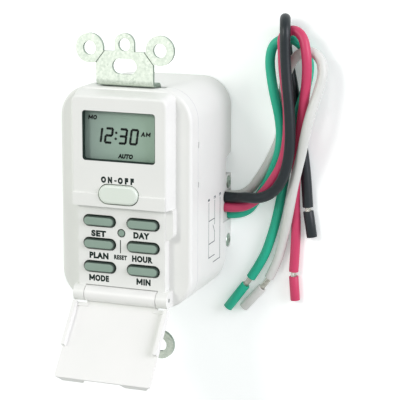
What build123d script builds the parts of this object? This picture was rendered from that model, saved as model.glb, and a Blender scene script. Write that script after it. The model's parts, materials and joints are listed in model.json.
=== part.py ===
from build123d import *
import os
from math import cos, pi, radians, sin, tan

# Timer light switch lying on its back, in millimetres.
# +Z points out of the face, +Y towards the top ears, +X to the viewer's right.
# The origin is the middle of the rear rest plane, under the middle of the strap.

# Housing
body_width = 44.4
body_length = 70.0
body_corner = 10.0
seam_height = 32.4
shoulder_rise = 6.0
shoulder_round = 1.1
wall = 2.0
shoulder_wall = 1.8
overrun = 1.0
seam_bevel = 0.25
snap_slot_width = 2.0
snap_slot_depth = 0.6
snap_slot_height = 0.9
snap_slot_rows = (17.3, 4.6)

# Raised panel and its rounded band below the switch button
panel_rise = 5.5
panel_wall = 1.8
panel_side_margin = 5.2
panel_side_slope = 1.0
panel_top_margin = 0.85
panel_top_slope = 1.4
panel_corner = 2.5
panel_edge_round = 0.9
band_bottom = -2.15
band_top = 2.1
band_rise = 0.4
band_margin = 0.4

# Keypad plateau and finger ledge
plateau_drop = 1.9
plateau_margin = 2.25
plateau_wall = 1.6
ledge_drop = 0.5
ledge_width = 2.55
ledge_setback = 1.15
ledge_length = 8.7
ledge_corner = 2.4

# Display
display_side_margin = 3.75
display_top_margin = 4.615
display_foot_margin = 10.235
display_corner = 1.0
window_recess = 1.4
window_lip = 1.5
window_flange = 0.9
window_gap = 0.1
glass_border = 1.25
glass_end_border = 1.1
glass_thickness = 1.8
frame_wall = 0.7
frame_ledge = 2.2
strip_setback = 1.7
strip_width = 1.6
strip_inset = 0.9

# Keys
key_width = 3.0
key_gap = 0.47
key_proud = 1.15
key_round = 0.6
key_side_margin = 2.15
key_middle_margin = 2.24
key_row_shares = (0.178, 0.433, 0.6925)
key_names = (("key_set", "key_day"), ("key_program", "key_hour"), ("key_mode", "key_minute"))
key_travel = 0.7
key_stop_gap = 0.15
key_flange_overlap = 0.8
key_flange_thickness = 0.9
plunger_radius = 1.4
switch_length = 13.2
switch_width = 6.0
switch_gap = 0.3
switch_row = 2.0
switch_proud = 1.0
switch_round = 0.8
switch_flange_length = 17.0
switch_flange_width = 4.0
switch_stem_length = 9.0
switch_stem_width = 3.0
reset_radius = 1.2
reset_gap = 0.2
reset_row_share = 0.2943
reset_flange_radius = 2.1
reset_round = 0.4

# Door and hinge
hinge_inset = 3.7
hinge_drop = 2.3
barrel_radius = 2.65
barrel_inset = 2.65
knuckle_gap = 0.2
knuckle_reach = 1.25
hinge_clearance = 0.3
pin_radius = 0.75
pin_fit = 0.02
pin_running = 0.05
pin_blind_depth = 1.0
door_open_angle = 140.0
door_overhang = 0.25
door_end_gap = 0.25
door_offset = 1.75
door_sheet = 0.8
door_root = 3.0
door_corner = 0.8
rim_width = 1.2
rim_height = 1.9
rim_end_gap = 0.8
rib_reach = 5.0
rib_height = 0.4
grip_height = 2.2
grip_length = 2.5
grip_start = 5.9
grip_bevel = 1.2

# Mounting strap: rows are counted from the ends of the housing, columns from its middle
ear_rise = 6.3
sheet = 1.2
sheet_bend = 1.5
strap_reach = 17.0
strap_standoff = 0.9
neck_half = 9.57
tab_half = 3.3
ear_column = 11.77
ear_reach = 12.0
ear_radius = 4.65
ear_hole_radius = 2.2
score_foot_column = 9.6
score_foot_reach = 7.6
score_head_column = 6.7
score_head_reach = 11.3
score_width = 0.35
score_depth = 0.45
plate_hole_reach = 13.4
plate_hole_radius = 2.0
box_slot_reach = 6.65
box_slot_length = 8.2
box_slot_width = 4.8
web_side_margin = 3.8
web_end_margin = 12.0
web_band = 3.4
web_end_band = 4.0
strap_slot_play = 2.43
strap_slot_drop = 0.7
strap_slot_rise = 2.1

# Rear housing
recess_height = 5.7
block_row = 10.1
block_slope = 1.7
rear_round = 1.0
boss_inset = 5.5
boss_radius = 3.6
front_boss_radius = 2.2
screw_radius = 1.25
screw_clearance = 0.15
screw_head_radius = 2.2
screw_head_height = 1.6
screw_seat_depth = 3.0
screw_tip_drop = 2.2
drive_radius = 1.0
drive_depth = 0.9

# Lead cover
cover_top = 2.7
cover_bottom = -22.4
cover_wall = 1.6
cover_end_wall = 1.0
cover_base = 1.5
channel_floor = 0.45
cover_gap = 0.1
cover_screw_margins = (2.7, 2.5)
cover_screw_height = 2.85
cover_screw_radius = 0.9
cover_head_radius = 2.15
cover_head_depth = 0.9
cover_post_depth = 5.0
cover_post_half = 1.3
cover_screw_tip = 4.4

# Boards
board_thickness = 1.6
board_clearance = 0.6
board_notch = 8.6
power_board_lift = 1.3
logic_board_rise = 2.2
logic_board_thickness = 1.2
pad_radius = 2.0
pad_side_inset = 4.8
pad_end_inset = 14.0
board_screw_radius = 0.8
board_head_radius = 1.5
board_head_height = 0.9
board_screw_length = 2.6

# Parts on the boards: margins are counted from the board's edge, rows from the housing's ends
board_margin = 2.35
relay_middle_gap = 1.75
relay_length = 19.0
relay_height = 15.8
relay_end_inset = 21.0
film_cap_margin = 3.6
film_cap_overlap = 2.0
film_cap_width = 8.0
film_cap_height = 14.0
film_cap_end_inset = 17.0
can_radius = 5.0
can_height = 16.0
can_side_inset = 8.1
can_end_inset = 28.0
can_bevel = 0.7
disc_radius = 5.2
disc_thickness = 4.2
disc_side_inset = 8.6
disc_end_inset = 15.5
disc_leg = 1.5
leg_radius = 0.4
diode_radius = 1.35
diode_length = 5.0
diode_start = 5.1
diode_end_inset = 14.0
diode_spacing = 3.6
diode_lift = 0.2
chip_size = (9.0, 9.0, 1.4)
chip_column = 6.0
chip_end_inset = 27.5
crystal_radius = 1.0
crystal_length = 6.0
crystal_column = -10.5
crystal_end_inset = 25.5
cell_radius = 10.0
cell_height = 3.2
cell_end_inset = 27.0
cell_gap = 0.3
clip_sheet = 0.4
clip_width = 6.0
clip_margin = 0.6
header_pins = 6
header_spacing = 2.54
header_column = 7.0
header_end_inset = 20.7
header_bar = 2.5
header_pin = 0.32
part_gap = 0.1

# Key mat
mat_thickness = 0.9
mat_side_margin = 1.35
mat_end_margin = 3.55
dome_height = 1.5
dome_base = 2.3
dome_crown = 1.4

# Leads
lead_diameter = 3.2
black_diameter = 3.5
conductor_radius = 0.95
tail_pin_radius = 0.8
tail_pin_length = 2.6
tail_bend = {"black": 2.8, "red": 2.8, "green": 4.8, "white": 4.8}
tail_insets = {"black": 8.8, "red": 8.8, "green": 13.8, "white": 13.8}
grommet_depth = 6.0
grommet_rise = 2.4
grommet_fit = 0.15
lead_opening = (-12.9, -2.35)
lead_window_insets = (17.6, 5.2)
bend_share = 0.45

# Places worked out from the sizes above
half_width = body_width / 2
half_length = body_length / 2
shoulder_height = seam_height + shoulder_rise
panel_height = shoulder_height + panel_rise
plateau_height = panel_height - plateau_drop
ear_height = seam_height + ear_rise
hinge_height = panel_height - hinge_drop
hinge_row = hinge_inset - half_length
panel_base_half = half_width - panel_side_margin
panel_face_half = panel_base_half - panel_side_slope
panel_base_top = half_length - panel_top_margin
panel_face_top = panel_base_top - panel_top_slope
band_half = panel_face_half - band_margin
plateau_half = panel_base_half - plateau_margin
ledge_reach = plateau_half + ledge_width
ledge_top = band_bottom - ledge_setback
ledge_bottom = ledge_top - ledge_length
display_width = 2 * (panel_face_half - display_side_margin)
display_high = panel_face_top - display_top_margin
display_low = band_top + display_foot_margin
display_length = display_high - display_low
display_centre = (display_high + display_low) / 2
glass_width = display_width + 2 * glass_border
glass_length = display_length + 2 * glass_end_border
strip_length = glass_width - 2 * strip_setback
strip_offset = glass_length / 2 - strip_inset
key_length = plateau_half - key_side_margin - key_middle_margin
key_column = key_middle_margin + key_length / 2
key_columns = (-key_column, key_column)
plateau_length = band_bottom - hinge_row
key_rows = [band_bottom - share * plateau_length for share in key_row_shares]
reset_row = band_bottom - reset_row_share * plateau_length
barrel_half = plateau_half - barrel_inset
knuckle_end = plateau_half + knuckle_reach
pin_left_end = pin_blind_depth - knuckle_end
door_half = knuckle_end + door_overhang
door_length = plateau_length - door_end_gap
rim_length = ledge_bottom - rim_end_gap - hinge_row - door_root
strap_end = half_length + strap_reach
strap_bend_row = half_length + strap_standoff
ear_row = half_length + ear_reach
score_foot = (score_foot_column, half_length + score_foot_reach)
score_head = (score_head_column, half_length + score_head_reach)
plate_hole_row = half_length + plate_hole_reach
box_slot_row = half_length + box_slot_reach
web_half = half_width - web_side_margin
web_row = half_length - web_end_margin
web_window_half = web_half - web_band
web_window_row = web_row - web_end_band
strap_slot_half = neck_half + strap_slot_play
boss_column = half_width - boss_inset
boss_row = half_length - boss_inset
screw_seat_height = recess_height + screw_seat_depth
screw_tip_height = shoulder_height - screw_tip_drop
cover_screw_rows = (cover_top - cover_screw_margins[0], cover_bottom + cover_screw_margins[1])
power_board_height = recess_height + wall + power_board_lift
logic_board_height = seam_height + logic_board_rise
pad_column = half_width - pad_side_inset
pad_row = half_length - pad_end_inset
grommet_top = recess_height + grommet_rise
lead_window = (half_width - lead_window_insets[0], half_width - lead_window_insets[1])
panel_underside = panel_height - panel_wall
plateau_underside = plateau_height - plateau_wall
shoulder_underside = shoulder_height - shoulder_wall
logic_top = logic_board_height + logic_board_thickness
power_top = power_board_height + board_thickness
mat_surface = logic_top + mat_thickness
dome_top = mat_surface + dome_height
plunger_bottom = dome_top + key_travel + key_stop_gap
mat_half = plateau_half - mat_side_margin
mat_top = switch_row + mat_end_margin
mat_bottom = key_rows[-1] - mat_end_margin
board_half_width = half_width - wall - board_clearance
board_half_length = half_length - wall - board_clearance
relay_left = board_margin - board_half_width
film_cap_left = film_cap_margin - board_half_width
relay_size = (-relay_middle_gap - relay_left, relay_length, relay_height)
relay_place = ((relay_left - relay_middle_gap) / 2, half_length - relay_end_inset)
film_cap_size = (film_cap_overlap - film_cap_left, film_cap_width, film_cap_height)
film_cap_place = ((film_cap_overlap + film_cap_left) / 2, film_cap_end_inset - half_length)
can_place = (board_half_width - can_side_inset, half_length - can_end_inset)
disc_place = (board_half_width - disc_side_inset, half_length - disc_end_inset)
diode_row = diode_end_inset - half_length
diode_room = board_half_width - board_margin + part_gap - diode_radius - diode_start
diode_count = 1 + int(diode_room / diode_spacing)
chip_place = (chip_column, half_length - chip_end_inset)
crystal_place = (crystal_column, half_length - crystal_end_inset)
cell_place = (0.0, cell_end_inset - half_length)
header_place = (header_column, half_length - header_end_inset)
tail_columns = {colour: half_width - inset for colour, inset in tail_insets.items()}


def save(piece, name):
    piece.part.label = name
    export_step(piece.part, f"parts/{name}.step")


def outline_at(height, inset=0):
    """Body outline on a level plane, a given inset inside the outer wall."""
    with BuildSketch(Plane.XY.offset(height)) as outline:
        RectangleRounded(body_width - 2 * inset, body_length - 2 * inset, body_corner - inset)
    return outline.sketch


def panel_outline(height, half, top):
    """Outline of the raised panel: square at the band, rounded at the top corners."""
    with BuildSketch(Plane.XY.offset(height)) as outline:
        with Locations((0, (top + band_bottom) / 2)):
            Rectangle(2 * half, top - band_bottom)
        fillet(outline.vertices().group_by(Axis.Y)[-1], radius=panel_corner)
    return outline.sketch


# Front housing: shoulder, raised panel, keypad plateau and the two outer hinge knuckles
with BuildPart() as front_housing:
    extrude(outline_at(seam_height), amount=shoulder_height - seam_height)
    fillet(front_housing.faces().sort_by(Axis.Z)[-1].edges(), radius=shoulder_round)
    panel_base = panel_outline(shoulder_height, panel_base_half, panel_base_top)
    panel_face = panel_outline(panel_height, panel_face_half, panel_face_top)
    loft([panel_base, panel_face])
    face_edges = front_housing.faces().sort_by(Axis.Z)[-1].edges()
    fillet(face_edges.sort_by(Axis.Y)[1:], radius=panel_edge_round)
    with BuildSketch(Plane.XY.offset(panel_height)):
        with Locations((0, (band_top + band_bottom) / 2)):
            Rectangle(2 * band_half, band_top - band_bottom)
    extrude(amount=band_rise)
    band_edges = front_housing.faces().sort_by(Axis.Z)[-1].edges()
    fillet(band_edges.sort_by(Axis.Y)[-1], radius=0.8 * band_rise)
    with BuildSketch(Plane.XY.offset(shoulder_height)):
        with Locations((0, (hinge_row + band_bottom) / 2)):
            Rectangle(2 * plateau_half, band_bottom - hinge_row)
    extrude(amount=plateau_height - shoulder_height)
    with BuildSketch(Plane.XY.offset(shoulder_height)) as ledge:
        with Locations(((ledge_reach + plateau_half) / 2 - ledge_corner / 2, (ledge_top + ledge_bottom) / 2)):
            Rectangle(ledge_reach - plateau_half + ledge_corner, ledge_top - ledge_bottom)
        fillet(ledge.vertices().sort_by(Axis.X)[-2:].sort_by(Axis.Y)[0], radius=ledge_corner)
        with Locations(((ledge_reach + plateau_half) / 2, (ledge_top + band_bottom) / 2)):
            Rectangle(ledge_reach - plateau_half, band_bottom - ledge_top)
    extrude(amount=plateau_height - ledge_drop - shoulder_height)
    for side in (-1, 1):
        start = side * (barrel_half + knuckle_gap)
        with BuildSketch(Plane.YZ.offset(start)):
            with Locations((hinge_row, hinge_height)):
                Circle(barrel_radius)
            with Locations((hinge_row, (hinge_height + shoulder_height - shoulder_round) / 2)):
                Rectangle(2 * barrel_radius, hinge_height - shoulder_height + shoulder_round)
        extrude(amount=side * (knuckle_end - barrel_half - knuckle_gap))
    # room behind and under the door's barrel
    with BuildSketch(Plane.YZ.offset(-barrel_half - knuckle_gap)):
        with Locations((hinge_row, hinge_height)):
            Circle(barrel_radius + hinge_clearance)
    extrude(amount=2 * (barrel_half + knuckle_gap), mode=Mode.SUBTRACT)
    # hinge pin bore, blind at the left knuckle
    with BuildSketch(Plane.YZ.offset(pin_left_end)):
        with Locations((hinge_row, hinge_height)):
            Circle(pin_radius + pin_fit)
    extrude(amount=knuckle_end - pin_left_end + overrun, mode=Mode.SUBTRACT)
    # hollow inside: shoulder, panel and plateau pockets
    extrude(outline_at(seam_height, wall), amount=shoulder_underside - seam_height, mode=Mode.SUBTRACT)
    pocket_top = panel_base_top - 1.5 * panel_wall
    pocket_bottom = switch_row - switch_width / 2 - switch_gap
    with BuildSketch(Plane.XY.offset(seam_height)):
        with Locations((0, (pocket_top + pocket_bottom) / 2)):
            Rectangle(2 * (panel_face_half - 0.75 * panel_wall), pocket_top - pocket_bottom)
    extrude(amount=panel_underside - seam_height, mode=Mode.SUBTRACT)
    plateau_low = hinge_row + barrel_radius + hinge_clearance + plateau_wall
    with BuildSketch(Plane.XY.offset(seam_height)):
        with Locations((0, (pocket_bottom + plateau_low) / 2)):
            Rectangle(2 * (plateau_half - 0.6 * plateau_wall), pocket_bottom - plateau_low)
    extrude(amount=plateau_underside - seam_height, mode=Mode.SUBTRACT)
    # openings for the display, the switch button, the keys and the reset button
    with BuildSketch(Plane.XY.offset(seam_height)):
        with Locations((0, display_centre)):
            RectangleRounded(display_width, display_length, display_corner)
    extrude(amount=panel_height - seam_height + overrun, mode=Mode.SUBTRACT)
    with BuildSketch(Plane.XY.offset(seam_height)):
        with Locations((0, switch_row)):
            SlotOverall(switch_length + 2 * switch_gap, switch_width + 2 * switch_gap)
    extrude(amount=panel_height - seam_height + overrun, mode=Mode.SUBTRACT)
    with BuildSketch(Plane.XY.offset(seam_height)):
        with Locations([(column, row) for column in key_columns for row in key_rows]):
            SlotOverall(key_length + 2 * key_gap, key_width + 2 * key_gap)
        with Locations((0, reset_row)):
            Circle(reset_radius + reset_gap)
    extrude(amount=panel_height - seam_height, mode=Mode.SUBTRACT)
    # bosses for the case screws and seats for the logic board
    with BuildSketch(Plane.XY.offset(seam_height)):
        with GridLocations(2 * boss_column, 2 * boss_row, 2, 2):
            Circle(front_boss_radius)
    extrude(amount=shoulder_underside - seam_height)
    with BuildSketch(Plane.XY.offset(logic_top)):
        with GridLocations(2 * pad_column, 2 * pad_row, 2, 2):
            Circle(pad_radius)
    extrude(amount=shoulder_underside - logic_top)
    with BuildSketch(Plane.XY.offset(seam_height)):
        with GridLocations(2 * boss_column, 2 * boss_row, 2, 2):
            Circle(screw_radius + pin_fit)
        with GridLocations(2 * pad_column, 2 * pad_row, 2, 2):
            Circle(board_screw_radius + pin_fit)
    extrude(amount=screw_tip_height + part_gap - seam_height, mode=Mode.SUBTRACT)
    # slots in the end walls where the strap leaves the housing
    with BuildSketch(Plane.XY.offset(seam_height)):
        with GridLocations(0, body_length - wall, 1, 2):
            Rectangle(2 * strap_slot_half, wall + overrun)
    extrude(amount=strap_slot_rise, mode=Mode.SUBTRACT)
save(front_housing, "front_housing")

# Rear housing: deep shell with the upper block that the switch lies on
with BuildPart() as rear_housing:
    extrude(outline_at(0), amount=seam_height)
    with BuildSketch(Plane.YZ.offset(-half_width - overrun)):
        with BuildLine():
            Polyline(
                (block_row + overrun * block_slope / recess_height, -overrun),
                (block_row - block_slope, recess_height),
                (-half_length - overrun, recess_height),
                (-half_length - overrun, -overrun),
                close=True,
            )
        make_face()
    extrude(amount=body_width + 2 * overrun, mode=Mode.SUBTRACT)
    rest_edges = rear_housing.faces().sort_by(Axis.Z)[0].edges()
    fillet(rest_edges, radius=rear_round)
    chamfer(rear_housing.faces().sort_by(Axis.Z)[-1].edges(), length=seam_bevel)
    extrude(outline_at(recess_height + wall, wall), amount=seam_height - recess_height - wall, mode=Mode.SUBTRACT)
    with BuildSketch(Plane.XY.offset(wall)) as block_hollow:
        RectangleRounded(body_width - 2 * wall, body_length - 2 * wall, body_corner - wall)
        with Locations((0, (block_row + wall - half_length) / 2)):
            Rectangle(body_width, block_row + wall + half_length, mode=Mode.SUBTRACT)
    extrude(amount=recess_height, mode=Mode.SUBTRACT)
    # case screw bosses, and posts under the power board
    with BuildSketch(Plane.XY.offset(recess_height)):
        with GridLocations(2 * boss_column, 2 * boss_row, 2, 2):
            Circle(boss_radius)
    extrude(amount=seam_height - recess_height)
    with BuildSketch(Plane.XY.offset(wall / 2)):
        with GridLocations(2 * boss_column, 0, 2, 1):
            with Locations((0, boss_row)):
                Circle(boss_radius)
    extrude(amount=recess_height)
    with BuildSketch(Plane.XY.offset(recess_height + wall / 2)):
        with GridLocations(2 * pad_column, 2 * pad_row, 2, 2):
            Circle(pad_radius)
    extrude(amount=power_board_height - recess_height - wall / 2)
    with BuildSketch(Plane.XY.offset(wall / 2)):
        with GridLocations(2 * pad_column, 0, 2, 1):
            with Locations((0, pad_row)):
                Circle(pad_radius)
    extrude(amount=recess_height)
    with BuildSketch(Plane.XY.offset(-overrun)):
        with GridLocations(2 * boss_column, 2 * boss_row, 2, 2):
            Circle(screw_radius + screw_clearance)
    extrude(amount=seam_height + 2 * overrun, mode=Mode.SUBTRACT)
    with BuildSketch(Plane.XY.offset(-overrun)):
        with GridLocations(2 * boss_column, 2 * boss_row, 2, 2):
            Circle(screw_head_radius + screw_clearance)
    extrude(amount=screw_seat_height + overrun, mode=Mode.SUBTRACT)
    # posts that take the lead cover's side screws
    post_drop = recess_height - cover_base - cover_gap
    for side in (-1, 1):
        post_middle = side * (half_width - cover_wall - cover_gap - cover_post_depth / 2)
        with BuildSketch(Plane.XY.offset(recess_height - post_drop)):
            for row in cover_screw_rows:
                with Locations((post_middle, row)):
                    Rectangle(cover_post_depth, 2 * cover_post_half)
        extrude(amount=post_drop)
        with BuildSketch(Plane.YZ.offset(side * (half_width - cover_wall))):
            for row in cover_screw_rows:
                with Locations((row, cover_screw_height)):
                    Circle(cover_screw_radius + pin_fit)
        extrude(amount=-side * (cover_screw_tip + part_gap), mode=Mode.SUBTRACT)
    # way in for the leads: a window in the recessed floor and a notch in the right wall
    with BuildSketch(Plane.XY.offset(recess_height - overrun)):
        with Locations((sum(lead_window) / 2, sum(lead_opening) / 2)):
            Rectangle(lead_window[1] - lead_window[0], lead_opening[1] - lead_opening[0])
        with Locations((half_width, sum(lead_opening) / 2)):
            Rectangle(2 * (half_width - lead_window[1] + part_gap), lead_opening[1] - lead_opening[0])
    extrude(amount=grommet_top - recess_height + overrun, mode=Mode.SUBTRACT)
    with BuildSketch(Plane.XY.offset(recess_height - overrun)):
        with Locations((sum(lead_window) / 2, sum(lead_opening) / 2)):
            Rectangle(lead_window[1] - lead_window[0], lead_opening[1] - lead_opening[0])
    extrude(amount=wall + 2 * overrun, mode=Mode.SUBTRACT)
    # slots in the end walls for the strap, and the snap slots along the seam
    with BuildSketch(Plane.XY.offset(seam_height)):
        with GridLocations(0, body_length - wall, 1, 2):
            Rectangle(2 * strap_slot_half, wall + overrun)
    extrude(amount=-strap_slot_drop, mode=Mode.SUBTRACT)
    with BuildSketch(Plane.XY.offset(seam_height)):
        for row in snap_slot_rows:
            with Locations((half_width, row), (-half_width, row)):
                Rectangle(2 * snap_slot_depth, snap_slot_width)
    extrude(amount=-snap_slot_height, mode=Mode.SUBTRACT)
save(rear_housing, "rear_housing")

# Lead cover: shallow tray, flush with the upper block
with BuildPart() as lead_cover:
    cover_middle = (cover_top + cover_bottom) / 2
    cover_length = cover_top - cover_bottom
    with BuildSketch():
        with Locations((0, cover_middle)):
            Rectangle(body_width, cover_length)
    extrude(amount=recess_height - cover_gap)
    fillet(lead_cover.faces().sort_by(Axis.Z)[0].edges(), radius=rear_round / 2)
    with BuildSketch(Plane.XY.offset(cover_base)):
        with Locations((0, cover_middle)):
            Rectangle(body_width - 2 * cover_wall, cover_length - 2 * cover_end_wall)
    extrude(amount=recess_height, mode=Mode.SUBTRACT)
    # channel in the floor under the lower pair of leads
    with BuildSketch(Plane.XY.offset(channel_floor)):
        with Locations((sum(lead_window) / 2, sum(lead_opening) / 2)):
            Rectangle(lead_window[1] - lead_window[0], lead_opening[1] - lead_opening[0])
    extrude(amount=recess_height, mode=Mode.SUBTRACT)
    with BuildSketch(Plane.XY.offset(-overrun)):
        with Locations((half_width, sum(lead_opening) / 2)):
            Rectangle(2 * (grommet_depth + part_gap), lead_opening[1] - lead_opening[0])
    extrude(amount=recess_height + 2 * overrun, mode=Mode.SUBTRACT)
    for side in (-1, 1):
        with BuildSketch(Plane.YZ.offset(side * (half_width + overrun))):
            for row in cover_screw_rows:
                with Locations((row, cover_screw_height)):
                    Circle(cover_screw_radius + screw_clearance)
        extrude(amount=-side * (cover_wall + 2 * overrun), mode=Mode.SUBTRACT)
        with BuildSketch(Plane.YZ.offset(side * (half_width + overrun))):
            for row in cover_screw_rows:
                with Locations((row, cover_screw_height)):
                    Circle(cover_head_radius + screw_clearance)
        extrude(amount=-side * (cover_head_depth + overrun), mode=Mode.SUBTRACT)
save(lead_cover, "lead_cover")

with BuildPart() as lead_cover_screws:
    for side in (-1, 1):
        seat = half_width - cover_head_depth
        with BuildSketch(Plane.YZ.offset(side * seat)):
            for row in cover_screw_rows:
                with Locations((row, cover_screw_height)):
                    Circle(cover_head_radius)
        extrude(amount=side * (cover_head_depth - part_gap))
        with BuildSketch(Plane.YZ.offset(side * seat)):
            for row in cover_screw_rows:
                with Locations((row, cover_screw_height)):
                    Circle(cover_screw_radius)
        extrude(amount=-side * cover_screw_tip)
save(lead_cover_screws, "lead_cover_screws")

# Case screws: recessed pan heads, driven from the back
with BuildPart() as case_screws:
    with BuildSketch(Plane.XY.offset(screw_seat_height - screw_head_height)):
        with GridLocations(2 * boss_column, 2 * boss_row, 2, 2):
            Circle(screw_head_radius)
    extrude(amount=screw_head_height - part_gap)
    with BuildSketch(Plane.XY.offset(screw_seat_height - screw_head_height / 2)):
        with GridLocations(2 * boss_column, 2 * boss_row, 2, 2):
            Circle(screw_radius)
    extrude(amount=screw_tip_height - screw_seat_height + screw_head_height / 2)
    with BuildSketch(Plane.XY.offset(screw_seat_height - screw_head_height)):
        with GridLocations(2 * boss_column, 2 * boss_row, 2, 2):
            RegularPolygon(drive_radius, 4)
    extrude(amount=drive_depth, mode=Mode.SUBTRACT)
save(case_screws, "case_screws")


def strap_profile():
    """Side view of the bent strap, from one end to the other."""
    front_level = ear_height - sheet / 2
    with BuildSketch(Plane.YZ.offset(-web_half)) as profile:
        with BuildLine():
            FilletPolyline(
                (strap_end, front_level),
                (strap_bend_row, front_level),
                (strap_bend_row, seam_height),
                (-strap_bend_row, seam_height),
                (-strap_bend_row, front_level),
                (-strap_end, front_level),
                radius=sheet_bend,
            )
        trace(line_width=sheet)
    return profile.sketch


def strap_plan():
    """Flat outline of the strap seen from the front."""
    with BuildSketch(Plane.XY) as plan:
        Rectangle(2 * neck_half, 2 * score_foot[1])
        Rectangle(2 * tab_half, 2 * (strap_end - tab_half))
        with Locations((0, strap_end - tab_half), (0, tab_half - strap_end)):
            Circle(tab_half)
        Rectangle(2 * web_half, 2 * web_row)
        for up in (-1, 1):
            with BuildLine():
                Polyline(
                    (-score_foot[0], up * score_foot[1]),
                    (-score_head[0], up * score_head[1]),
                    (score_head[0], up * score_head[1]),
                    (score_foot[0], up * score_foot[1]),
                    close=True,
                )
            make_face()
            for side in (-1, 1):
                with BuildLine():
                    Polyline(
                        (side * score_foot[0], up * score_foot[1]),
                        (side * ear_column, up * (ear_row - ear_radius)),
                        (side * ear_column, up * ear_row),
                        (side * score_head[0], up * score_head[1]),
                        close=True,
                    )
                make_face()
                with Locations((side * ear_column, up * ear_row)):
                    Circle(ear_radius)
        Rectangle(2 * web_window_half, 2 * web_window_row, mode=Mode.SUBTRACT)
        with GridLocations(2 * ear_column, 2 * ear_row, 2, 2):
            Circle(ear_hole_radius, mode=Mode.SUBTRACT)
        with GridLocations(0, 2 * plate_hole_row, 1, 2):
            Circle(plate_hole_radius, mode=Mode.SUBTRACT)
        with GridLocations(0, 2 * box_slot_row, 1, 2):
            SlotOverall(box_slot_length, box_slot_width, mode=Mode.SUBTRACT)
    return plan.sketch


# Mounting strap: one bent steel sheet that passes between the two housings
with BuildPart() as mounting_strap:
    extrude(strap_profile(), amount=2 * web_half)
    extrude(strap_plan(), amount=ear_height + overrun, mode=Mode.INTERSECT)
    for up in (-1, 1):
        for side in (-1, 1):
            foot = Vector(side * score_foot[0], up * score_foot[1])
            head = Vector(side * score_head[0], up * score_head[1])
            with BuildSketch(Plane.XY.offset(ear_height)):
                with BuildLine():
                    Line(foot, head)
                trace(line_width=score_width)
            extrude(amount=-score_depth, mode=Mode.SUBTRACT)
save(mounting_strap, "mounting_strap")

# Hinge pin, fixed in the housing's knuckles
with BuildPart() as hinge_pin:
    with BuildSketch(Plane.YZ.offset(pin_left_end + part_gap)):
        with Locations((hinge_row, hinge_height)):
            Circle(pin_radius)
    extrude(amount=knuckle_end - pin_left_end - 2 * part_gap)
save(hinge_pin, "hinge_pin")

# Keypad door at its open stop; its own plane has Y along the door and Z through it
door_turn = radians(door_open_angle)
door_plane = Plane(
    origin=(0, hinge_row, hinge_height),
    x_dir=(1, 0, 0),
    z_dir=(0, -sin(door_turn), cos(door_turn)),
)
barrel_plane = Plane(
    origin=door_plane.origin - Vector(barrel_half, 0, 0),
    x_dir=door_plane.y_dir,
    z_dir=(1, 0, 0),
)
web_start = barrel_radius / 4
with BuildPart() as keypad_door:
    with BuildSketch(barrel_plane):
        Circle(barrel_radius)
    extrude(amount=2 * barrel_half)
    with BuildSketch(door_plane.offset(door_offset)) as door_sketch:
        with Locations((0, (door_length + door_root) / 2)):
            Rectangle(2 * door_half, door_length - door_root)
        fillet(door_sketch.vertices().group_by(Axis.Y)[-1], radius=door_corner)
        with Locations((0, (door_root + web_start) / 2)):
            Rectangle(2 * barrel_half, door_root - web_start)
    extrude(amount=door_sheet)
    with BuildSketch(door_plane.offset(door_offset)):
        for side in (-1, 1):
            with Locations((side * (door_half - rim_width / 2), door_root + rim_length / 2)):
                Rectangle(rim_width, rim_length)
    extrude(amount=-rim_height)
    with BuildSketch(door_plane.offset(door_offset)):
        for side in (-1, 1):
            with Locations((side * (door_half - rib_reach / 2), door_root + rim_width / 2)):
                Rectangle(rib_reach, rim_width)
    extrude(amount=-rib_height)
    for side in (-1, 1):
        grip_width = door_half - grip_start - door_corner
        grip_place = Plane(
            origin=door_plane.from_local_coords(
                Vector(side * (grip_start + grip_width / 2), door_length - grip_length / 2, door_offset + door_sheet)
            ),
            x_dir=(1, 0, 0),
            z_dir=door_plane.z_dir,
        )
        with BuildSketch(grip_place):
            Rectangle(grip_width, grip_length)
        with BuildSketch(grip_place.offset(grip_height)):
            with Locations((0, grip_bevel / 2)):
                Rectangle(grip_width - 2 * grip_bevel, grip_length - grip_bevel)
        loft()
    with BuildSketch(barrel_plane):
        Circle(pin_radius + pin_running)
    extrude(amount=2 * barrel_half, mode=Mode.SUBTRACT)
save(keypad_door, "keypad_door")

# Display window: clear moulding held behind the panel
with BuildPart() as display_window:
    window_top = panel_underside - part_gap / 2
    with BuildSketch(Plane.XY.offset(window_top - window_flange)):
        with Locations((0, display_centre)):
            Rectangle(display_width + 2 * window_lip, display_length + 2 * window_lip)
    extrude(amount=window_flange)
    with BuildSketch(Plane.XY.offset(window_top)):
        with Locations((0, display_centre)):
            RectangleRounded(
                display_width - 2 * window_gap, display_length - 2 * window_gap, display_corner - window_gap
            )
    extrude(amount=panel_height - window_recess - window_top)
save(display_window, "display_window")

glass_top = panel_underside - part_gap / 2 - window_flange - part_gap
with BuildPart() as display_glass:
    with BuildSketch(Plane.XY.offset(glass_top - glass_thickness)):
        with Locations((0, display_centre)):
            Rectangle(glass_width, glass_length)
    extrude(amount=glass_thickness)
save(display_glass, "display_glass")

with BuildPart() as display_frame:
    ledge_level = glass_top - glass_thickness - part_gap
    with BuildSketch(Plane.XY.offset(logic_top)):
        with Locations((0, display_centre)):
            Rectangle(glass_width + 2 * frame_wall, glass_length + 2 * (frame_wall + part_gap))
    extrude(amount=glass_top - logic_top)
    with BuildSketch(Plane.XY.offset(ledge_level)):
        with Locations((0, display_centre)):
            Rectangle(glass_width + 2 * part_gap, glass_length + 2 * part_gap)
    extrude(amount=glass_thickness + overrun, mode=Mode.SUBTRACT)
    with BuildSketch(Plane.XY.offset(logic_top)):
        with Locations((0, display_centre)):
            Rectangle(strip_length + 2 * part_gap, glass_length - 4 * frame_ledge)
            with Locations((0, strip_offset), (0, -strip_offset)):
                Rectangle(strip_length + 2 * part_gap, strip_width + 2 * part_gap)
    extrude(amount=glass_top, mode=Mode.SUBTRACT)
save(display_frame, "display_frame")

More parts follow.
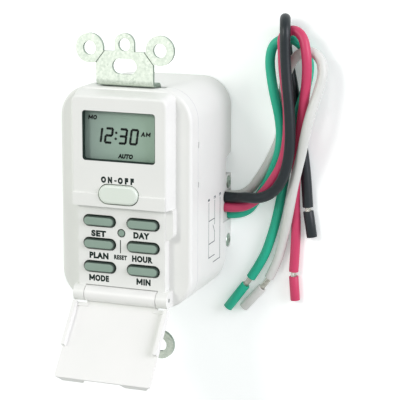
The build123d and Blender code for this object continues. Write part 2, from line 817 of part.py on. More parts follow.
with BuildPart() as display_contact_strips:
    with BuildSketch(Plane.XY.offset(logic_top + part_gap / 2)):
        with Locations((0, display_centre + strip_offset), (0, display_centre - strip_offset)):
            Rectangle(strip_length, strip_width)
    extrude(amount=glass_top - glass_thickness - logic_top - part_gap)
save(display_contact_strips, "display_contact_strips")


def make_key(name, column, row):
    """Oval key: crowned cap, hidden flange and plunger above its dome."""
    flange_top = plateau_underside - part_gap
    with BuildPart() as key:
        with BuildSketch(Plane.XY.offset(flange_top - key_flange_thickness)):
            with Locations((column, row)):
                SlotOverall(key_length + 2 * key_flange_overlap, key_width + 2 * key_flange_overlap)
        extrude(amount=key_flange_thickness)
        with BuildSketch(Plane.XY.offset(flange_top)):
            with Locations((column, row)):
                SlotOverall(key_length, key_width)
        extrude(amount=plateau_height + key_proud - flange_top)
        fillet(key.faces().sort_by(Axis.Z)[-1].edges(), radius=key_round)
        with BuildSketch(Plane.XY.offset(plunger_bottom)):
            with Locations((column, row)):
                Circle(plunger_radius)
        extrude(amount=flange_top - key_flange_thickness - plunger_bottom)
    save(key, name)
    return key


for row, names in zip(key_rows, key_names):
    for column, name in zip(key_columns, names):
        make_key(name, column, row)

with BuildPart() as reset_button:
    flange_top = plateau_underside - part_gap
    with BuildSketch(Plane.XY.offset(plunger_bottom)):
        with Locations((0, reset_row)):
            Circle(reset_radius)
    extrude(amount=plateau_height - plunger_bottom)
    fillet(reset_button.faces().sort_by(Axis.Z)[-1].edges(), radius=reset_round)
    with BuildSketch(Plane.XY.offset(flange_top - key_flange_thickness)):
        with Locations((0, reset_row)):
            Circle(reset_flange_radius)
    extrude(amount=key_flange_thickness)
save(reset_button, "reset_button")

with BuildPart() as on_off_button:
    flange_top = panel_underside - part_gap
    with BuildSketch(Plane.XY.offset(flange_top - key_flange_thickness)):
        with Locations((0, switch_row)):
            Rectangle(switch_flange_length, switch_flange_width)
            SlotOverall(switch_length, switch_width)
    extrude(amount=key_flange_thickness)
    with BuildSketch(Plane.XY.offset(flange_top)):
        with Locations((0, switch_row)):
            SlotOverall(switch_length, switch_width)
    extrude(amount=panel_height + switch_proud - flange_top)
    fillet(on_off_button.faces().sort_by(Axis.Z)[-1].edges(), radius=switch_round)
    with BuildSketch(Plane.XY.offset(plunger_bottom)):
        with Locations((0, switch_row)):
            Rectangle(switch_stem_length, switch_stem_width)
    extrude(amount=flange_top - key_flange_thickness - plunger_bottom)
save(on_off_button, "on_off_button")

# Rubber key mat with one dome under each button
dome_places = [(column, row) for column in key_columns for row in key_rows]
dome_places += [(0, switch_row), (0, reset_row)]
with BuildPart() as key_mat:
    with BuildSketch(Plane.XY.offset(logic_top)):
        with Locations((0, (mat_top + mat_bottom) / 2)):
            RectangleRounded(2 * mat_half, mat_top - mat_bottom, dome_crown)
    extrude(amount=mat_thickness)
    for place in dome_places:
        with BuildSketch(Plane.XY.offset(mat_surface)):
            with Locations(place):
                Circle(dome_base)
        with BuildSketch(Plane.XY.offset(dome_top)):
            with Locations(place):
                Circle(dome_crown)
        loft()
save(key_mat, "key_mat")


def board_outline(height):
    """Board outline with square notches that clear the four case screw bosses."""
    with BuildSketch(Plane.XY.offset(height)) as outline:
        Rectangle(2 * board_half_width, 2 * board_half_length)
        with GridLocations(2 * board_half_width, 2 * board_half_length, 2, 2):
            Rectangle(2 * board_notch - 2 * board_clearance, 2 * board_notch, mode=Mode.SUBTRACT)
    return outline.sketch


with BuildPart() as logic_board:
    extrude(board_outline(logic_board_height), amount=logic_board_thickness)
    with BuildSketch(Plane.XY.offset(logic_board_height)):
        with GridLocations(2 * pad_column, 2 * pad_row, 2, 2):
            Circle(board_screw_radius + screw_clearance)
    extrude(amount=logic_board_thickness, mode=Mode.SUBTRACT)
save(logic_board, "logic_board")

with BuildPart() as logic_board_screws:
    head_low = logic_board_height - part_gap - board_head_height
    with BuildSketch(Plane.XY.offset(head_low)):
        with GridLocations(2 * pad_column, 2 * pad_row, 2, 2):
            Circle(board_head_radius)
    extrude(amount=board_head_height)
    with BuildSketch(Plane.XY.offset(head_low)):
        with GridLocations(2 * pad_column, 2 * pad_row, 2, 2):
            Circle(board_screw_radius)
    extrude(amount=board_screw_length - part_gap)
save(logic_board_screws, "logic_board_screws")

# Lead routes: hand-set points from the outlet at the right wall to the stripped end
lead_rows = {"black": -4.55, "red": -8.0, "green": -10.9, "white": -4.55}
lead_levels = {"black": 5.75, "red": 5.65, "green": 2.25, "white": 2.25}
lead_colours = ("black", "red", "green", "white")


def lead_size(colour):
    return black_diameter if colour == "black" else lead_diameter


with BuildPart() as power_board:
    extrude(board_outline(power_board_height), amount=board_thickness)
    with BuildSketch(Plane.XY.offset(power_board_height)):
        for colour in lead_colours:
            with Locations((tail_columns[colour], lead_rows[colour])):
                Circle(tail_pin_radius + screw_clearance)
    extrude(amount=board_thickness, mode=Mode.SUBTRACT)
save(power_board, "power_board")


def block_on_board(name, size, place, low, rounding):
    """Moulded block that stands on a board."""
    with BuildPart() as block:
        with BuildSketch(Plane.XY.offset(low)):
            with Locations(place):
                RectangleRounded(size[0], size[1], rounding)
        extrude(amount=size[2])
    save(block, name)


block_on_board("relay", relay_size, relay_place, power_top + part_gap, can_bevel)
block_on_board("film_capacitor", film_cap_size, film_cap_place, power_top + part_gap, can_bevel)
chip_low = logic_board_height - part_gap - chip_size[2]
block_on_board("controller_chip", chip_size, chip_place, chip_low, leg_radius)

with BuildPart() as smoothing_capacitor:
    with BuildSketch(Plane.XY.offset(power_top + part_gap)):
        with Locations(can_place):
            Circle(can_radius)
    extrude(amount=can_height)
    fillet(smoothing_capacitor.faces().sort_by(Axis.Z)[-1].edges(), radius=can_bevel)
save(smoothing_capacitor, "smoothing_capacitor")

with BuildPart() as varistor:
    disc_height = power_top + disc_leg + disc_radius
    with BuildSketch(Plane.XZ.offset(-disc_place[1] - disc_thickness / 2)):
        with Locations((disc_place[0], disc_height)):
            Circle(disc_radius)
    extrude(amount=disc_thickness)
    with BuildSketch(Plane.XY.offset(power_top + part_gap)):
        with Locations(disc_place):
            with Locations((disc_radius / 2, 0), (-disc_radius / 2, 0)):
                Circle(leg_radius)
    extrude(amount=disc_leg + disc_radius / 2)
save(varistor, "varistor")

with BuildPart() as rectifier_diodes:
    diode_height = power_top + diode_lift + diode_radius
    for index in range(diode_count):
        column = diode_start + diode_spacing * index
        with BuildSketch(Plane.XZ.offset(-diode_row - diode_length / 2)):
            with Locations((column, diode_height)):
                Circle(diode_radius)
        extrude(amount=diode_length)
save(rectifier_diodes, "rectifier_diodes")

with BuildPart() as clock_crystal:
    with BuildSketch(Plane.XZ.offset(-crystal_place[1] - crystal_length / 2)):
        with Locations((crystal_place[0], logic_board_height - part_gap - crystal_radius)):
            Circle(crystal_radius)
    extrude(amount=crystal_length)
save(clock_crystal, "clock_crystal")

with BuildPart() as backup_cell:
    cell_low = logic_board_height - cell_gap - cell_height
    with BuildSketch(Plane.XY.offset(cell_low)):
        with Locations(cell_place):
            Circle(cell_radius)
    extrude(amount=cell_height)
    fillet(backup_cell.faces().sort_by(Axis.Z)[0].edges(), radius=leg_radius)
save(backup_cell, "backup_cell")

with BuildPart() as cell_clip:
    clip_half = cell_radius + clip_margin
    clip_low = cell_low - part_gap - clip_sheet
    clip_height = logic_board_height - part_gap - clip_low
    with BuildSketch(Plane.XZ.offset(-cell_place[1] - clip_width / 2)):
        with Locations((cell_place[0], clip_low + clip_height / 2)):
            Rectangle(2 * (clip_half + clip_sheet), clip_height)
        with Locations((cell_place[0], clip_low + clip_height / 2 + clip_sheet)):
            Rectangle(2 * clip_half, clip_height, mode=Mode.SUBTRACT)
    extrude(amount=clip_width)
save(cell_clip, "cell_clip")

with BuildPart() as board_header:
    with BuildSketch(Plane.XY.offset(power_top + part_gap)):
        with GridLocations(header_spacing, 0, header_pins, 1):
            with Locations(header_place):
                Rectangle(2 * header_pin, 2 * header_pin)
    extrude(amount=logic_board_height - power_top - 2 * part_gap)
    with BuildSketch(Plane.XY.offset(power_top + part_gap)):
        with Locations(header_place):
            Rectangle(header_pins * header_spacing, header_bar)
    extrude(amount=header_bar)
    with BuildSketch(Plane.XY.offset(logic_board_height - part_gap)):
        with Locations(header_place):
            Rectangle(header_pins * header_spacing, header_bar)
    extrude(amount=-header_bar)
save(board_header, "board_header")

# Lead grommet: fills the side opening round the four leads
with BuildPart() as lead_grommet:
    grommet_width = lead_opening[1] - lead_opening[0] - 2 * part_gap
    with BuildSketch():
        with Locations((half_width - part_gap - grommet_depth / 2, sum(lead_opening) / 2)):
            Rectangle(grommet_depth - part_gap, grommet_width)
    extrude(amount=grommet_top - part_gap)
    with BuildSketch(Plane.YZ.offset(half_width - grommet_depth - overrun)):
        for colour in lead_colours:
            with Locations((lead_rows[colour], lead_levels[colour])):
                Circle(lead_size(colour) / 2 + grommet_fit)
    extrude(amount=grommet_depth + 2 * overrun, mode=Mode.SUBTRACT)
save(lead_grommet, "lead_grommet")

# Each lead lies on the floor beside the body and ends in a stripped tip with a slid-on sleeve
lead_routes = {
    "black": (
        (22.2, -4.55, 5.75), (26.0, -4.55, 5.75), (30.3, -2.6, 8.4), (34.9, -3.0, 9.4), (39.3, -1.5, 9.8),
        (43.0, 2.8, 10.9), (45.4, 9.6, 12.0), (46.2, 17.8, 12.3), (45.6, 27.5, 12.3), (44.5, 37.0, 12.3),
        (43.9, 45.2, 12.3), (43.8, 53.6, 12.3), (43.4, 56.5, 7.1), (42.7, 53.6, 1.88), (42.0, 42.0, 1.88),
        (43.5, 32.7, 1.88), (45.8, 21.1, 1.88), (47.7, 10.3, 1.88), (48.8, 1.4, 1.88), (49.4, -6.6, 1.88),
    ),
    "red": (
        (22.2, -8.0, 5.65), (26.3, -8.0, 5.65), (30.6, -6.5, 5.5), (35.0, -2.7, 5.8), (38.5, 2.1, 6.9),
        (41.7, 7.0, 8.1), (43.8, 13.8, 8.7), (44.3, 22.4, 8.8), (43.7, 30.4, 8.8), (42.4, 38.4, 8.8),
        (42.0, 45.4, 8.8), (41.7, 50.1, 8.7), (45.3, 52.2, 8.2), (48.9, 50.1, 9.2), (50.4, 44.3, 10.2),
        (50.5, 37.6, 9.6), (49.5, 29.4, 8.8), (48.3, 21.5, 7.8), (47.5, 14.0, 6.5), (46.4, 7.2, 5.3),
        (45.4, 0.4, 3.5), (45.1, -6.6, 1.9), (45.5, -13.7, 1.75), (45.3, -21.2, 1.75), (44.9, -28.9, 1.75),
    ),
    "green": (
        (22.2, -10.9, 2.25), (25.2, -10.9, 2.25), (29.2, -9.2, 1.9), (31.5, -5.7, 1.8), (35.1, -0.6, 2.9),
        (38.2, 5.6, 4.4), (40.4, 11.7, 5.4), (41.0, 17.7, 5.6), (40.3, 24.0, 6.0), (38.6, 30.7, 6.25),
        (37.1, 37.1, 5.4), (36.6, 42.5, 5.2), (37.9, 46.9, 5.4), (41.4, 48.7, 5.4), (45.0, 48.5, 5.3),
        (47.2, 46.0, 3.1), (48.8, 42.0, 1.9), (49.0, 37.2, 1.75), (47.9, 31.5, 3.0), (46.9, 26.2, 5.2),
        (45.7, 20.6, 5.5), (44.1, 13.8, 4.5), (42.1, 6.7, 2.6), (40.9, 0.4, 1.75), (39.9, -5.4, 1.75),
        (38.6, -11.9, 1.75), (36.8, -18.5, 1.75), (34.2, -25.8, 1.75), (30.0, -32.4, 1.75),
    ),
    "white": (
        (22.2, -4.55, 2.25), (26.0, -4.55, 2.25), (29.6, -2.2, 1.75), (31.7, 0.6, 1.75), (34.7, 5.4, 1.75),
        (37.3, 10.5, 1.75), (39.4, 15.7, 1.75), (40.4, 21.7, 1.75), (40.5, 27.7, 2.1), (41.1, 32.6, 4.5),
        (42.5, 37.7, 5.5), (44.6, 42.0, 5.9), (47.5, 44.7, 6.6), (51.2, 45.2, 6.6), (54.3, 42.7, 7.1),
        (55.3, 38.6, 8.0), (54.4, 33.9, 8.9), (53.1, 29.2, 10.0), (51.9, 24.5, 11.1), (50.7, 19.2, 11.0),
        (49.3, 13.1, 9.8), (47.5, 6.8, 8.5), (45.7, 0.1, 7.0), (44.2, -6.6, 5.5), (42.6, -13.2, 3.5),
        (40.7, -20.2, 1.8), (39.1, -26.4, 1.75), (36.4, -31.9, 1.75),
    ),
}

# Stripped tips: far end of the sleeve, and the bare length between insulation and sleeve
tip_ends = {
    "black": (51.0, -16.6, 1.88),
    "red": (45.6, -38.7, 1.75),
    "green": (21.9, -43.6, 1.75),
    "white": (27.5, -43.0, 1.75),
}
bare_lengths = {"black": 1.4, "red": 1.6, "green": 3.2, "white": 4.4}


def route_radii(points):
    """Bend radius at each corner, from the shorter run beside it."""
    radii = []
    for before, corner, after in zip(points, points[1:], points[2:]):
        back = Vector(before) - Vector(corner)
        ahead = Vector(after) - Vector(corner)
        half_turn = radians(180 - back.get_angle(ahead)) / 2
        radii.append(bend_share * min(back.length, ahead.length) / tan(half_turn))
    return radii


def round_cord(name, points, radius):
    """Round section swept along straight runs joined by tangent arcs."""
    radii = route_radii(points)
    with BuildPart() as cord:
        with BuildLine() as route:
            FilletPolyline(*points, radius=radii)
        with BuildSketch(Plane(origin=route.line @ 0, z_dir=route.line % 0)):
            Circle(radius)
        sweep(path=route.line)
    length = sum(edge.length for edge in route.edges())
    ratio = cord.part.volume / (pi * radius**2 * length)
    print(f"{name}: length {length:.1f}, radii {min(radii):.1f} to {max(radii):.1f}, volume ratio {ratio:.4f}")
    save(cord, name)


for colour in lead_colours:
    lead_radius = lead_size(colour) / 2
    route = lead_routes[colour]
    end = Vector(route[-1])
    knee = end + (end - Vector(route[-2])).normalized() * bare_lengths[colour] / 2
    tip = Vector(tip_ends[colour])
    forward = (tip - knee).normalized()
    round_cord(f"lead_{colour}", route, lead_radius)
    round_cord(f"conductor_{colour}", (end, knee, tip - forward * part_gap), conductor_radius)
    sleeve_start = knee + forward * bare_lengths[colour] / 2
    with BuildPart() as sleeve:
        with BuildSketch(Plane(origin=sleeve_start, z_dir=forward)):
            Circle(lead_radius)
            Circle(conductor_radius + pin_fit, mode=Mode.SUBTRACT)
        extrude(amount=(tip - sleeve_start).length)
    save(sleeve, f"sleeve_{colour}")
    # the inner length of the lead: through the grommet and up to the power board
    row = lead_rows[colour]
    level = lead_levels[colour]
    column = tail_columns[colour]
    rise = power_board_height - part_gap
    with BuildPart() as tail:
        with BuildLine() as tail_line:
            FilletPolyline((half_width, row, level), (column, row, level), (column, row, rise), radius=tail_bend[colour])
        with BuildSketch(Plane(origin=tail_line.line @ 0, z_dir=tail_line.line % 0)):
            Circle(lead_radius)
        sweep(path=tail_line.line)
        with BuildSketch(Plane.XY.offset(rise)):
            with Locations((column, row)):
                Circle(tail_pin_radius)
        extrude(amount=tail_pin_length)
    save(tail, f"lead_tail_{colour}")
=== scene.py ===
# %% [markdown]
# # Timer light switch
# A programmable wall switch lies on its back: a white moulded case with a display, seven small
# buttons, an oval ON-OFF button and a hinged keypad door, a steel mounting strap and four leads.
# Its solids come ready made. This lesson dresses them: it shapes the soft leads, prints the
# legends, fills the display and gives each surface the finish of the real one.

import json
from math import cos, pi, radians, sin, tan

import bmesh
import bpy
from mathutils import Matrix, Vector

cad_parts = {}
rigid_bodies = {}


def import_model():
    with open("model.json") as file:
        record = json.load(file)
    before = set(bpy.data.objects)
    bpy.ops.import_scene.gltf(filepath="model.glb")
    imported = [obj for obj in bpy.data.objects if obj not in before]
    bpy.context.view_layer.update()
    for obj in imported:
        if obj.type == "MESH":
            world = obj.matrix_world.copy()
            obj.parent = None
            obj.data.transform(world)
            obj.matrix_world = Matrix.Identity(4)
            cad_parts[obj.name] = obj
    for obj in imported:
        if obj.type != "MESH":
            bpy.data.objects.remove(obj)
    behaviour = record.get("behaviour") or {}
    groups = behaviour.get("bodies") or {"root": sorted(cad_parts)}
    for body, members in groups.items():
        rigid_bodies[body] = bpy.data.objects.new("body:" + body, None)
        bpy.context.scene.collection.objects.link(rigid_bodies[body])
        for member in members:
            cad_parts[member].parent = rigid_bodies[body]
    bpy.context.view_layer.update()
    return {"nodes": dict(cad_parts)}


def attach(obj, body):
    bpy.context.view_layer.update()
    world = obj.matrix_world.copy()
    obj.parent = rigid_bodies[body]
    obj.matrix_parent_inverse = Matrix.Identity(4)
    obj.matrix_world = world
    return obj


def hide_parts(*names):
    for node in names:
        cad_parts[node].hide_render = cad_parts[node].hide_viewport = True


bpy.ops.object.select_all(action="SELECT")
bpy.ops.object.delete()
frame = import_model()
nodes = frame["nodes"]
bpy.ops.object.select_all(action="DESELECT")
MM = 0.001
print("solids:", len(nodes))

# %% [markdown]
# The product photograph is taken with a long lens from the upper right. The camera is set by
# three turns worked out from the edges of the case: how far it stands to the right of the face's
# normal, how far above it, and a slight roll. A camera looks along its own -Z, so `back` is +Z.
# Its place is in metres, as everything in Blender is.

# %% Camera
side_turn, lift, roll = radians(20.006), radians(12.30), radians(0.246)
camera_place = (0.18494, 0.10315, 0.47756)
back = Vector((sin(side_turn) * cos(lift), sin(lift), cos(side_turn) * cos(lift)))
level_right = Vector((0, 1, 0)).cross(back).normalized()
level_up = back.cross(level_right)
camera_right = level_right * cos(roll) + level_up * sin(roll)
camera_up = level_up * cos(roll) - level_right * sin(roll)
camera = bpy.data.objects.new("camera", bpy.data.cameras.new("camera"))
camera.data.sensor_width = 36
camera.data.lens = 138.786
turned = Matrix((camera_right, camera_up, back)).transposed().to_4x4()
camera.matrix_world = Matrix.Translation(camera_place) @ turned
bpy.context.scene.collection.objects.link(camera)
bpy.context.scene.camera = camera
print("camera looks along", [round(-part, 3) for part in back])

# %% [markdown]
# Every material below is built from nodes. Colours are written as they look on screen, in hex,
# and one function turns them to the linear numbers that Blender's sockets want. A second small
# function adds a node: it sets the node's options, then gives each input a number, a colour or
# the output of another node.

# %% Helpers for materials
def linear(hex_colour):
    """The linear RGBA of a colour written as '#rrggbb'."""
    channels = [int(hex_colour[start : start + 2], 16) / 255 for start in (1, 3, 5)]
    return [c / 12.92 if c <= 0.04045 else ((c + 0.055) / 1.055) ** 2.4 for c in channels] + [1.0]


def add_node(finish, kind, inputs=(), **options):
    """Adds one node to a material or world, with its options, numbers and links."""
    node = finish.node_tree.nodes.new(kind)
    for option, value in options.items():
        setattr(node, option, value)
    for socket, value in dict(inputs).items():
        if isinstance(value, bpy.types.NodeSocket):
            finish.node_tree.links.new(value, node.inputs[socket])
        else:
            node.inputs[socket].default_value = value
    return node


def new_finish(name, sockets):
    """Starts a material and sets what is the same all over it on the shader's own sockets."""
    finish = bpy.data.materials.new(name)
    finish.use_nodes = True
    shader = finish.node_tree.nodes["Principled BSDF"]
    for socket, value in sockets.items():
        shader.inputs[socket].default_value = value
    return finish, shader, add_node(finish, "ShaderNodeTexCoord").outputs["Object"]


def connect(finish, shader, sockets):
    """Links one output to each named socket of a shader."""
    for socket, output in sockets.items():
        finish.node_tree.links.new(output, shader.inputs[socket])


print("case white in linear numbers:", [round(part, 2) for part in linear("#eceeea")])

# %% [markdown]
# Most of the object is moulded plastic. A spark-eroded mould leaves an even grain of about a tenth
# of a millimetre. That is too fine to show, so it is drawn at about a third of a millimetre. The
# plastic's tone also drifts a little over centimetres. Object coordinates are in metres, so a
# pattern's scale is one divided by its size. The two halves of the case meet in a thin line round
# it, whose shade is painted as a darker tone between two heights. The key tops have steep flanks,
# and the shadow of their wells is painted on them as a darker tone that follows the slope.

# %% Moulded plastic
seam_height, seam_half_width = 32.4, 0.14
drift_size = 14
steep_slope, level_slope = 0.6, 0.985


def facing_up(finish):
    """The Z part of the surface's normal: 1 on a level top, 0 on a wall."""
    normal = add_node(finish, "ShaderNodeNewGeometry").outputs["Normal"]
    return add_node(finish, "ShaderNodeSeparateXYZ", {"Vector": normal}).outputs["Z"]


def moulded(name, colour, shade, roughness, grain_mm=0.35, relief_mm=0.006, seam_shade=None, flank_shade=None):
    """Moulded plastic with an eroded grain, and if wanted painted shade on its seam or flanks."""
    finish, shader, place = new_finish(name, {"IOR": 1.53})
    slow = {"Vector": place, "Scale": 1 / (drift_size * MM), "Detail": 3.0}
    drift = add_node(finish, "ShaderNodeTexNoise", slow)
    tones = {0: drift.outputs["Fac"], 6: linear(colour), 7: linear(shade)}
    tone = add_node(finish, "ShaderNodeMix", tones, data_type="RGBA")
    # Painted shade: a darker tone in a thin band where the case's two halves meet
    if seam_shade:
        height = add_node(finish, "ShaderNodeSeparateXYZ", {"Vector": place}).outputs["Z"]
        reach = {0: height, 1: seam_height * MM, 2: seam_half_width * MM}
        on_seam = add_node(finish, "ShaderNodeMath", reach, operation="COMPARE")
        tones = {0: on_seam.outputs[0], 6: tone.outputs[2], 7: linear(seam_shade)}
        tone = add_node(finish, "ShaderNodeMix", tones, data_type="RGBA")
    # Painted shade: steep faces get a darker tone, for the shadow in the wells round the keys
    if flank_shade:
        slope = {"Value": facing_up(finish), "From Min": steep_slope, "From Max": level_slope}
        flank_shade_share = add_node(finish, "ShaderNodeMapRange", {**slope, "To Min": 1.0, "To Max": 0.0})
        tones = {0: flank_shade_share.outputs["Result"], 6: tone.outputs[2], 7: linear(flank_shade)}
        tone = add_node(finish, "ShaderNodeMix", tones, data_type="RGBA")
    eroded = {"Vector": place, "Scale": 1 / (grain_mm * MM), "Detail": 2.0}
    grain = add_node(finish, "ShaderNodeTexNoise", eroded).outputs["Fac"]
    sheen = {"Value": grain, "To Min": roughness - 0.06, "To Max": roughness + 0.06}
    gloss = add_node(finish, "ShaderNodeMapRange", sheen).outputs["Result"]
    relief = {"Height": grain, "Strength": 0.6, "Distance": relief_mm * MM}
    bump = add_node(finish, "ShaderNodeBump", relief).outputs["Normal"]
    connect(finish, shader, {"Base Color": tone.outputs[2], "Roughness": gloss, "Normal": bump})
    return finish


# Warm white ABS of the case: satin, so light spreads softly over its edges; its seam's shade is
# painted
case_abs = moulded("satin_white_abs", "#eceeea", "#e4e7e3", 0.42, seam_shade="#b9b9c2")
# The door comes from another mould of the same plastic, a trace brighter
door_abs = moulded("bright_white_abs", "#f0f1ee", "#e9ebe8", 0.40)
# The ON-OFF button is pale mint ABS with a smoother skin, so it shines a little more
mint_abs = moulded("pale_mint_abs", "#e2ebe1", "#d9e4d9", 0.36, 0.3, 0.004)
# The key tops are grey-green ABS, matt from a coarser grain, with shade painted on their steep
# flanks
key_abs = moulded("matt_grey_green_abs", "#8ba294", "#82988b", 0.52, 0.4, 0.008, flank_shade="#2a3a32")
print("plastics:", [m.name for m in bpy.data.materials])

# %% [markdown]
# The strap is cold-rolled steel with a zinc coat. Zinc grows in crystals, so the metal shows fine
# cloudy patches in slightly different greys, each with its own gloss. Rolling scratches run along
# the sheet. They are really finer than a hair and are drawn a quarter of a millimetre wide, so
# that they show. The punched edges have no such coat and look darker.

# %% Plated steel
scratch_width = 0.25
scratch_stretch = (1, 0.05, 1)


def plated(name, light, dark, cut, roughness, patch_mm):
    """Plated metal: cloudy crystal patches, fine scratches along Y and darker cut edges."""
    finish, shader, place = new_finish(name, {"Metallic": 1.0})
    crystals = {"Vector": place, "Scale": 1 / (patch_mm * MM)}
    patches = add_node(finish, "ShaderNodeTexVoronoi", crystals)
    bloom = {"Vector": place, "Scale": 1 / (1.5 * patch_mm * MM), "Detail": 8.0, "Roughness": 0.75}
    clouds = add_node(finish, "ShaderNodeTexNoise", bloom)
    both = {0: 0.75, 6: patches.outputs["Color"], 7: clouds.outputs["Color"]}
    mottle = add_node(finish, "ShaderNodeMix", both, data_type="RGBA")
    grey = add_node(finish, "ShaderNodeRGBToBW", {"Color": mottle.outputs[2]})
    contrast = {"Value": grey.outputs["Val"], "From Min": 0.25, "From Max": 0.75}
    level = add_node(finish, "ShaderNodeMapRange", contrast).outputs["Result"]
    tones = {0: level, 6: linear(dark), 7: linear(light)}
    face_tone = add_node(finish, "ShaderNodeMix", tones, data_type="RGBA")
    flatness = add_node(finish, "ShaderNodeMath", {0: facing_up(finish)}, operation="ABSOLUTE")
    slope = {"Value": flatness.outputs[0], "From Min": 0.2, "From Max": 0.7}
    edge = add_node(finish, "ShaderNodeMapRange", {**slope, "To Min": 1.0, "To Max": 0.0})
    tones = {0: edge.outputs["Result"], 6: face_tone.outputs[2], 7: linear(cut)}
    tone = add_node(finish, "ShaderNodeMix", tones, data_type="RGBA").outputs[2]
    sheen = {"Value": level, "To Min": roughness + 0.1, "To Max": roughness - 0.1}
    gloss = add_node(finish, "ShaderNodeMapRange", sheen).outputs["Result"]
    along = add_node(finish, "ShaderNodeMapping", {"Vector": place, "Scale": scratch_stretch})
    rolled = {"Vector": along.outputs["Vector"], "Scale": 1 / (scratch_width * MM)}
    scratches = add_node(finish, "ShaderNodeTexNoise", rolled)
    relief = {"Height": scratches.outputs["Fac"], "Strength": 0.3, "Distance": 0.003 * MM}
    bump = add_node(finish, "ShaderNodeBump", relief).outputs["Normal"]
    connect(finish, shader, {"Base Color": tone, "Roughness": gloss, "Normal": bump})
    return finish


# The strap's zinc has gone slightly green-grey, with mottling of about a millimetre
zinc_steel = plated("zinc_plated_steel", "#e2e9de", "#b5c1b4", "#93a296", 0.52, 0.7)
# Screws are plated too, in a darker coat
zinc_screw = plated("dull_zinc_screw", "#bccbbf", "#86978b", "#98a89c", 0.36, 0.8)
# The hinge pin is drawn steel wire: brighter and without fine crystals
pin_steel = plated("drawn_steel_pin", "#c9ccca", "#b4b8b6", "#bcc0be", 0.28, 6.0)
# Stripped strands and solder pins are copper with a tin coat, which gives a soft silver shine
tinned_copper = plated("tinned_copper", "#dedfd6", "#a2a398", "#b9bab0", 0.32, 0.6)
# The backup cell and the crystal's can are nickel-plated, a warmer and glossier grey
nickel = plated("nickel_plate", "#d6d3c8", "#c3bfb2", "#cbc7bb", 0.22, 4.0)
print("metals:", [m.name for m in (zinc_steel, zinc_screw, pin_steel, tinned_copper, nickel)])

# %% [markdown]
# The display is a sandwich: a liquid-crystal cell whose film gives the grey-green ground, the
# dark segments in it, and a clear moulding in front. A painted shade leaves the ground darker at
# its left and lighter and greener towards the right. The clear moulding lets most light straight
# through, so it gets a low alpha: a refracting glass would block the lamps' light and leave the
# cell in the dark.

# %% Display finishes
# The film behind the cell: half glossy, with a fibrous silk that is drawn coarse enough to show
film_looks = {"Roughness": 0.34, "IOR": 1.5}
cell_film, film_shader, place = new_finish("grey_green_display_film", film_looks)
half_cell = 12 * MM
# Painted shade: the ground runs from darker at the cell's left edge to lighter at its right
across = add_node(cell_film, "ShaderNodeSeparateXYZ", {"Vector": place})
width_share = {"Value": across.outputs["X"], "From Min": -half_cell, "From Max": half_cell}
painted_shade_across = add_node(cell_film, "ShaderNodeMapRange", width_share)
tones = {0: painted_shade_across.outputs["Result"], 6: linear("#99afa4"), 7: linear("#abc9b4")}
ground = add_node(cell_film, "ShaderNodeMix", tones, data_type="RGBA").outputs[2]
silk = {"Vector": place, "Scale": 1 / (0.3 * MM), "Detail": 2.0}
fibres = add_node(cell_film, "ShaderNodeTexNoise", silk)
relief = {"Height": fibres.outputs["Fac"], "Strength": 0.25, "Distance": 0.004 * MM}
film_bump = add_node(cell_film, "ShaderNodeBump", relief).outputs["Normal"]
connect(cell_film, film_shader, {"Base Color": ground, "Normal": film_bump})

# Clear polystyrene: glossy, almost invisible face on, with faint wipe marks
clear_looks = {"Base Color": linear("#3c4643"), "Alpha": 0.05, "IOR": 1.59}
clear_cover, clear_shader, place = new_finish("clear_polystyrene", clear_looks)
wiped = {"Vector": place, "Scale": 1 / (5 * MM), "Detail": 5.0}
wipes = add_node(clear_cover, "ShaderNodeTexNoise", wiped).outputs["Fac"]
sheen = {"Value": wipes, "To Min": 0.04, "To Max": 0.12}
wipe_gloss = add_node(clear_cover, "ShaderNodeMapRange", sheen).outputs["Result"]
connect(clear_cover, clear_shader, {"Roughness": wipe_gloss})
print("display:", cell_film.name, "behind", clear_cover.name)

# %% [markdown]
# Printing inks and the dark segments are thin layers. A picture laid on the surface would blur
# from close by, so the marks are thin solids, which keep their edges and need only a colour.
# Pad-printed ink is matt and slightly uneven, so its tone gets a fine noise.

# %% Inks
ink_patch = 0.25


def ink(name, colour, thin_colour, roughness):
    """A thin printed layer, a little lighter where the ink lies thin."""
    looks = {"Roughness": roughness, "Specular IOR Level": 0.12}
    finish, shader, place = new_finish(name, looks)
    uneven = {"Vector": place, "Scale": 1 / (ink_patch * MM), "Detail": 1.0}
    cover = add_node(finish, "ShaderNodeTexNoise", uneven)
    tones = {0: cover.outputs["Fac"], 6: linear(colour), 7: linear(thin_colour)}
    tone = add_node(finish, "ShaderNodeMix", tones, data_type="RGBA").outputs[2]
    connect(finish, shader, {"Base Color": tone})
    return finish


# Pad-printed legends: a matt green-black that reads as dark on the white plastic
legend_ink = ink("dark_green_grey_ink", "#182420", "#24332f", 0.55)
# The sketch on the side is stamped with a thinner, paler ink
side_ink = ink("slate_grey_ink", "#3a474a", "#5d6b6e", 0.6)
# Lit segments block the light that the film would send back, so they are almost black
segment_black = ink("display_segment_black", "#040a07", "#0a120f", 0.5)
# The gasket round the window opening is near black, so its edges show as dark lines
gasket_black = ink("blackened_gasket", "#1a2823", "#26352f", 0.5)
print("inks:", [m.name for m in (legend_ink, side_ink, segment_black, gasket_black)])

# %% [markdown]
# The leads are stranded copper in PVC. The insulation comes off a hot die, so it is smooth and
# half glossy, with a faint waviness and small scuffs where it has rubbed on the other leads. One
# noise makes the scuffs both duller and a little different in tone, as rubbed plastic is.

# %% Soft plastics and rubber
scuff_size, wave_size = 1.6, 2.5


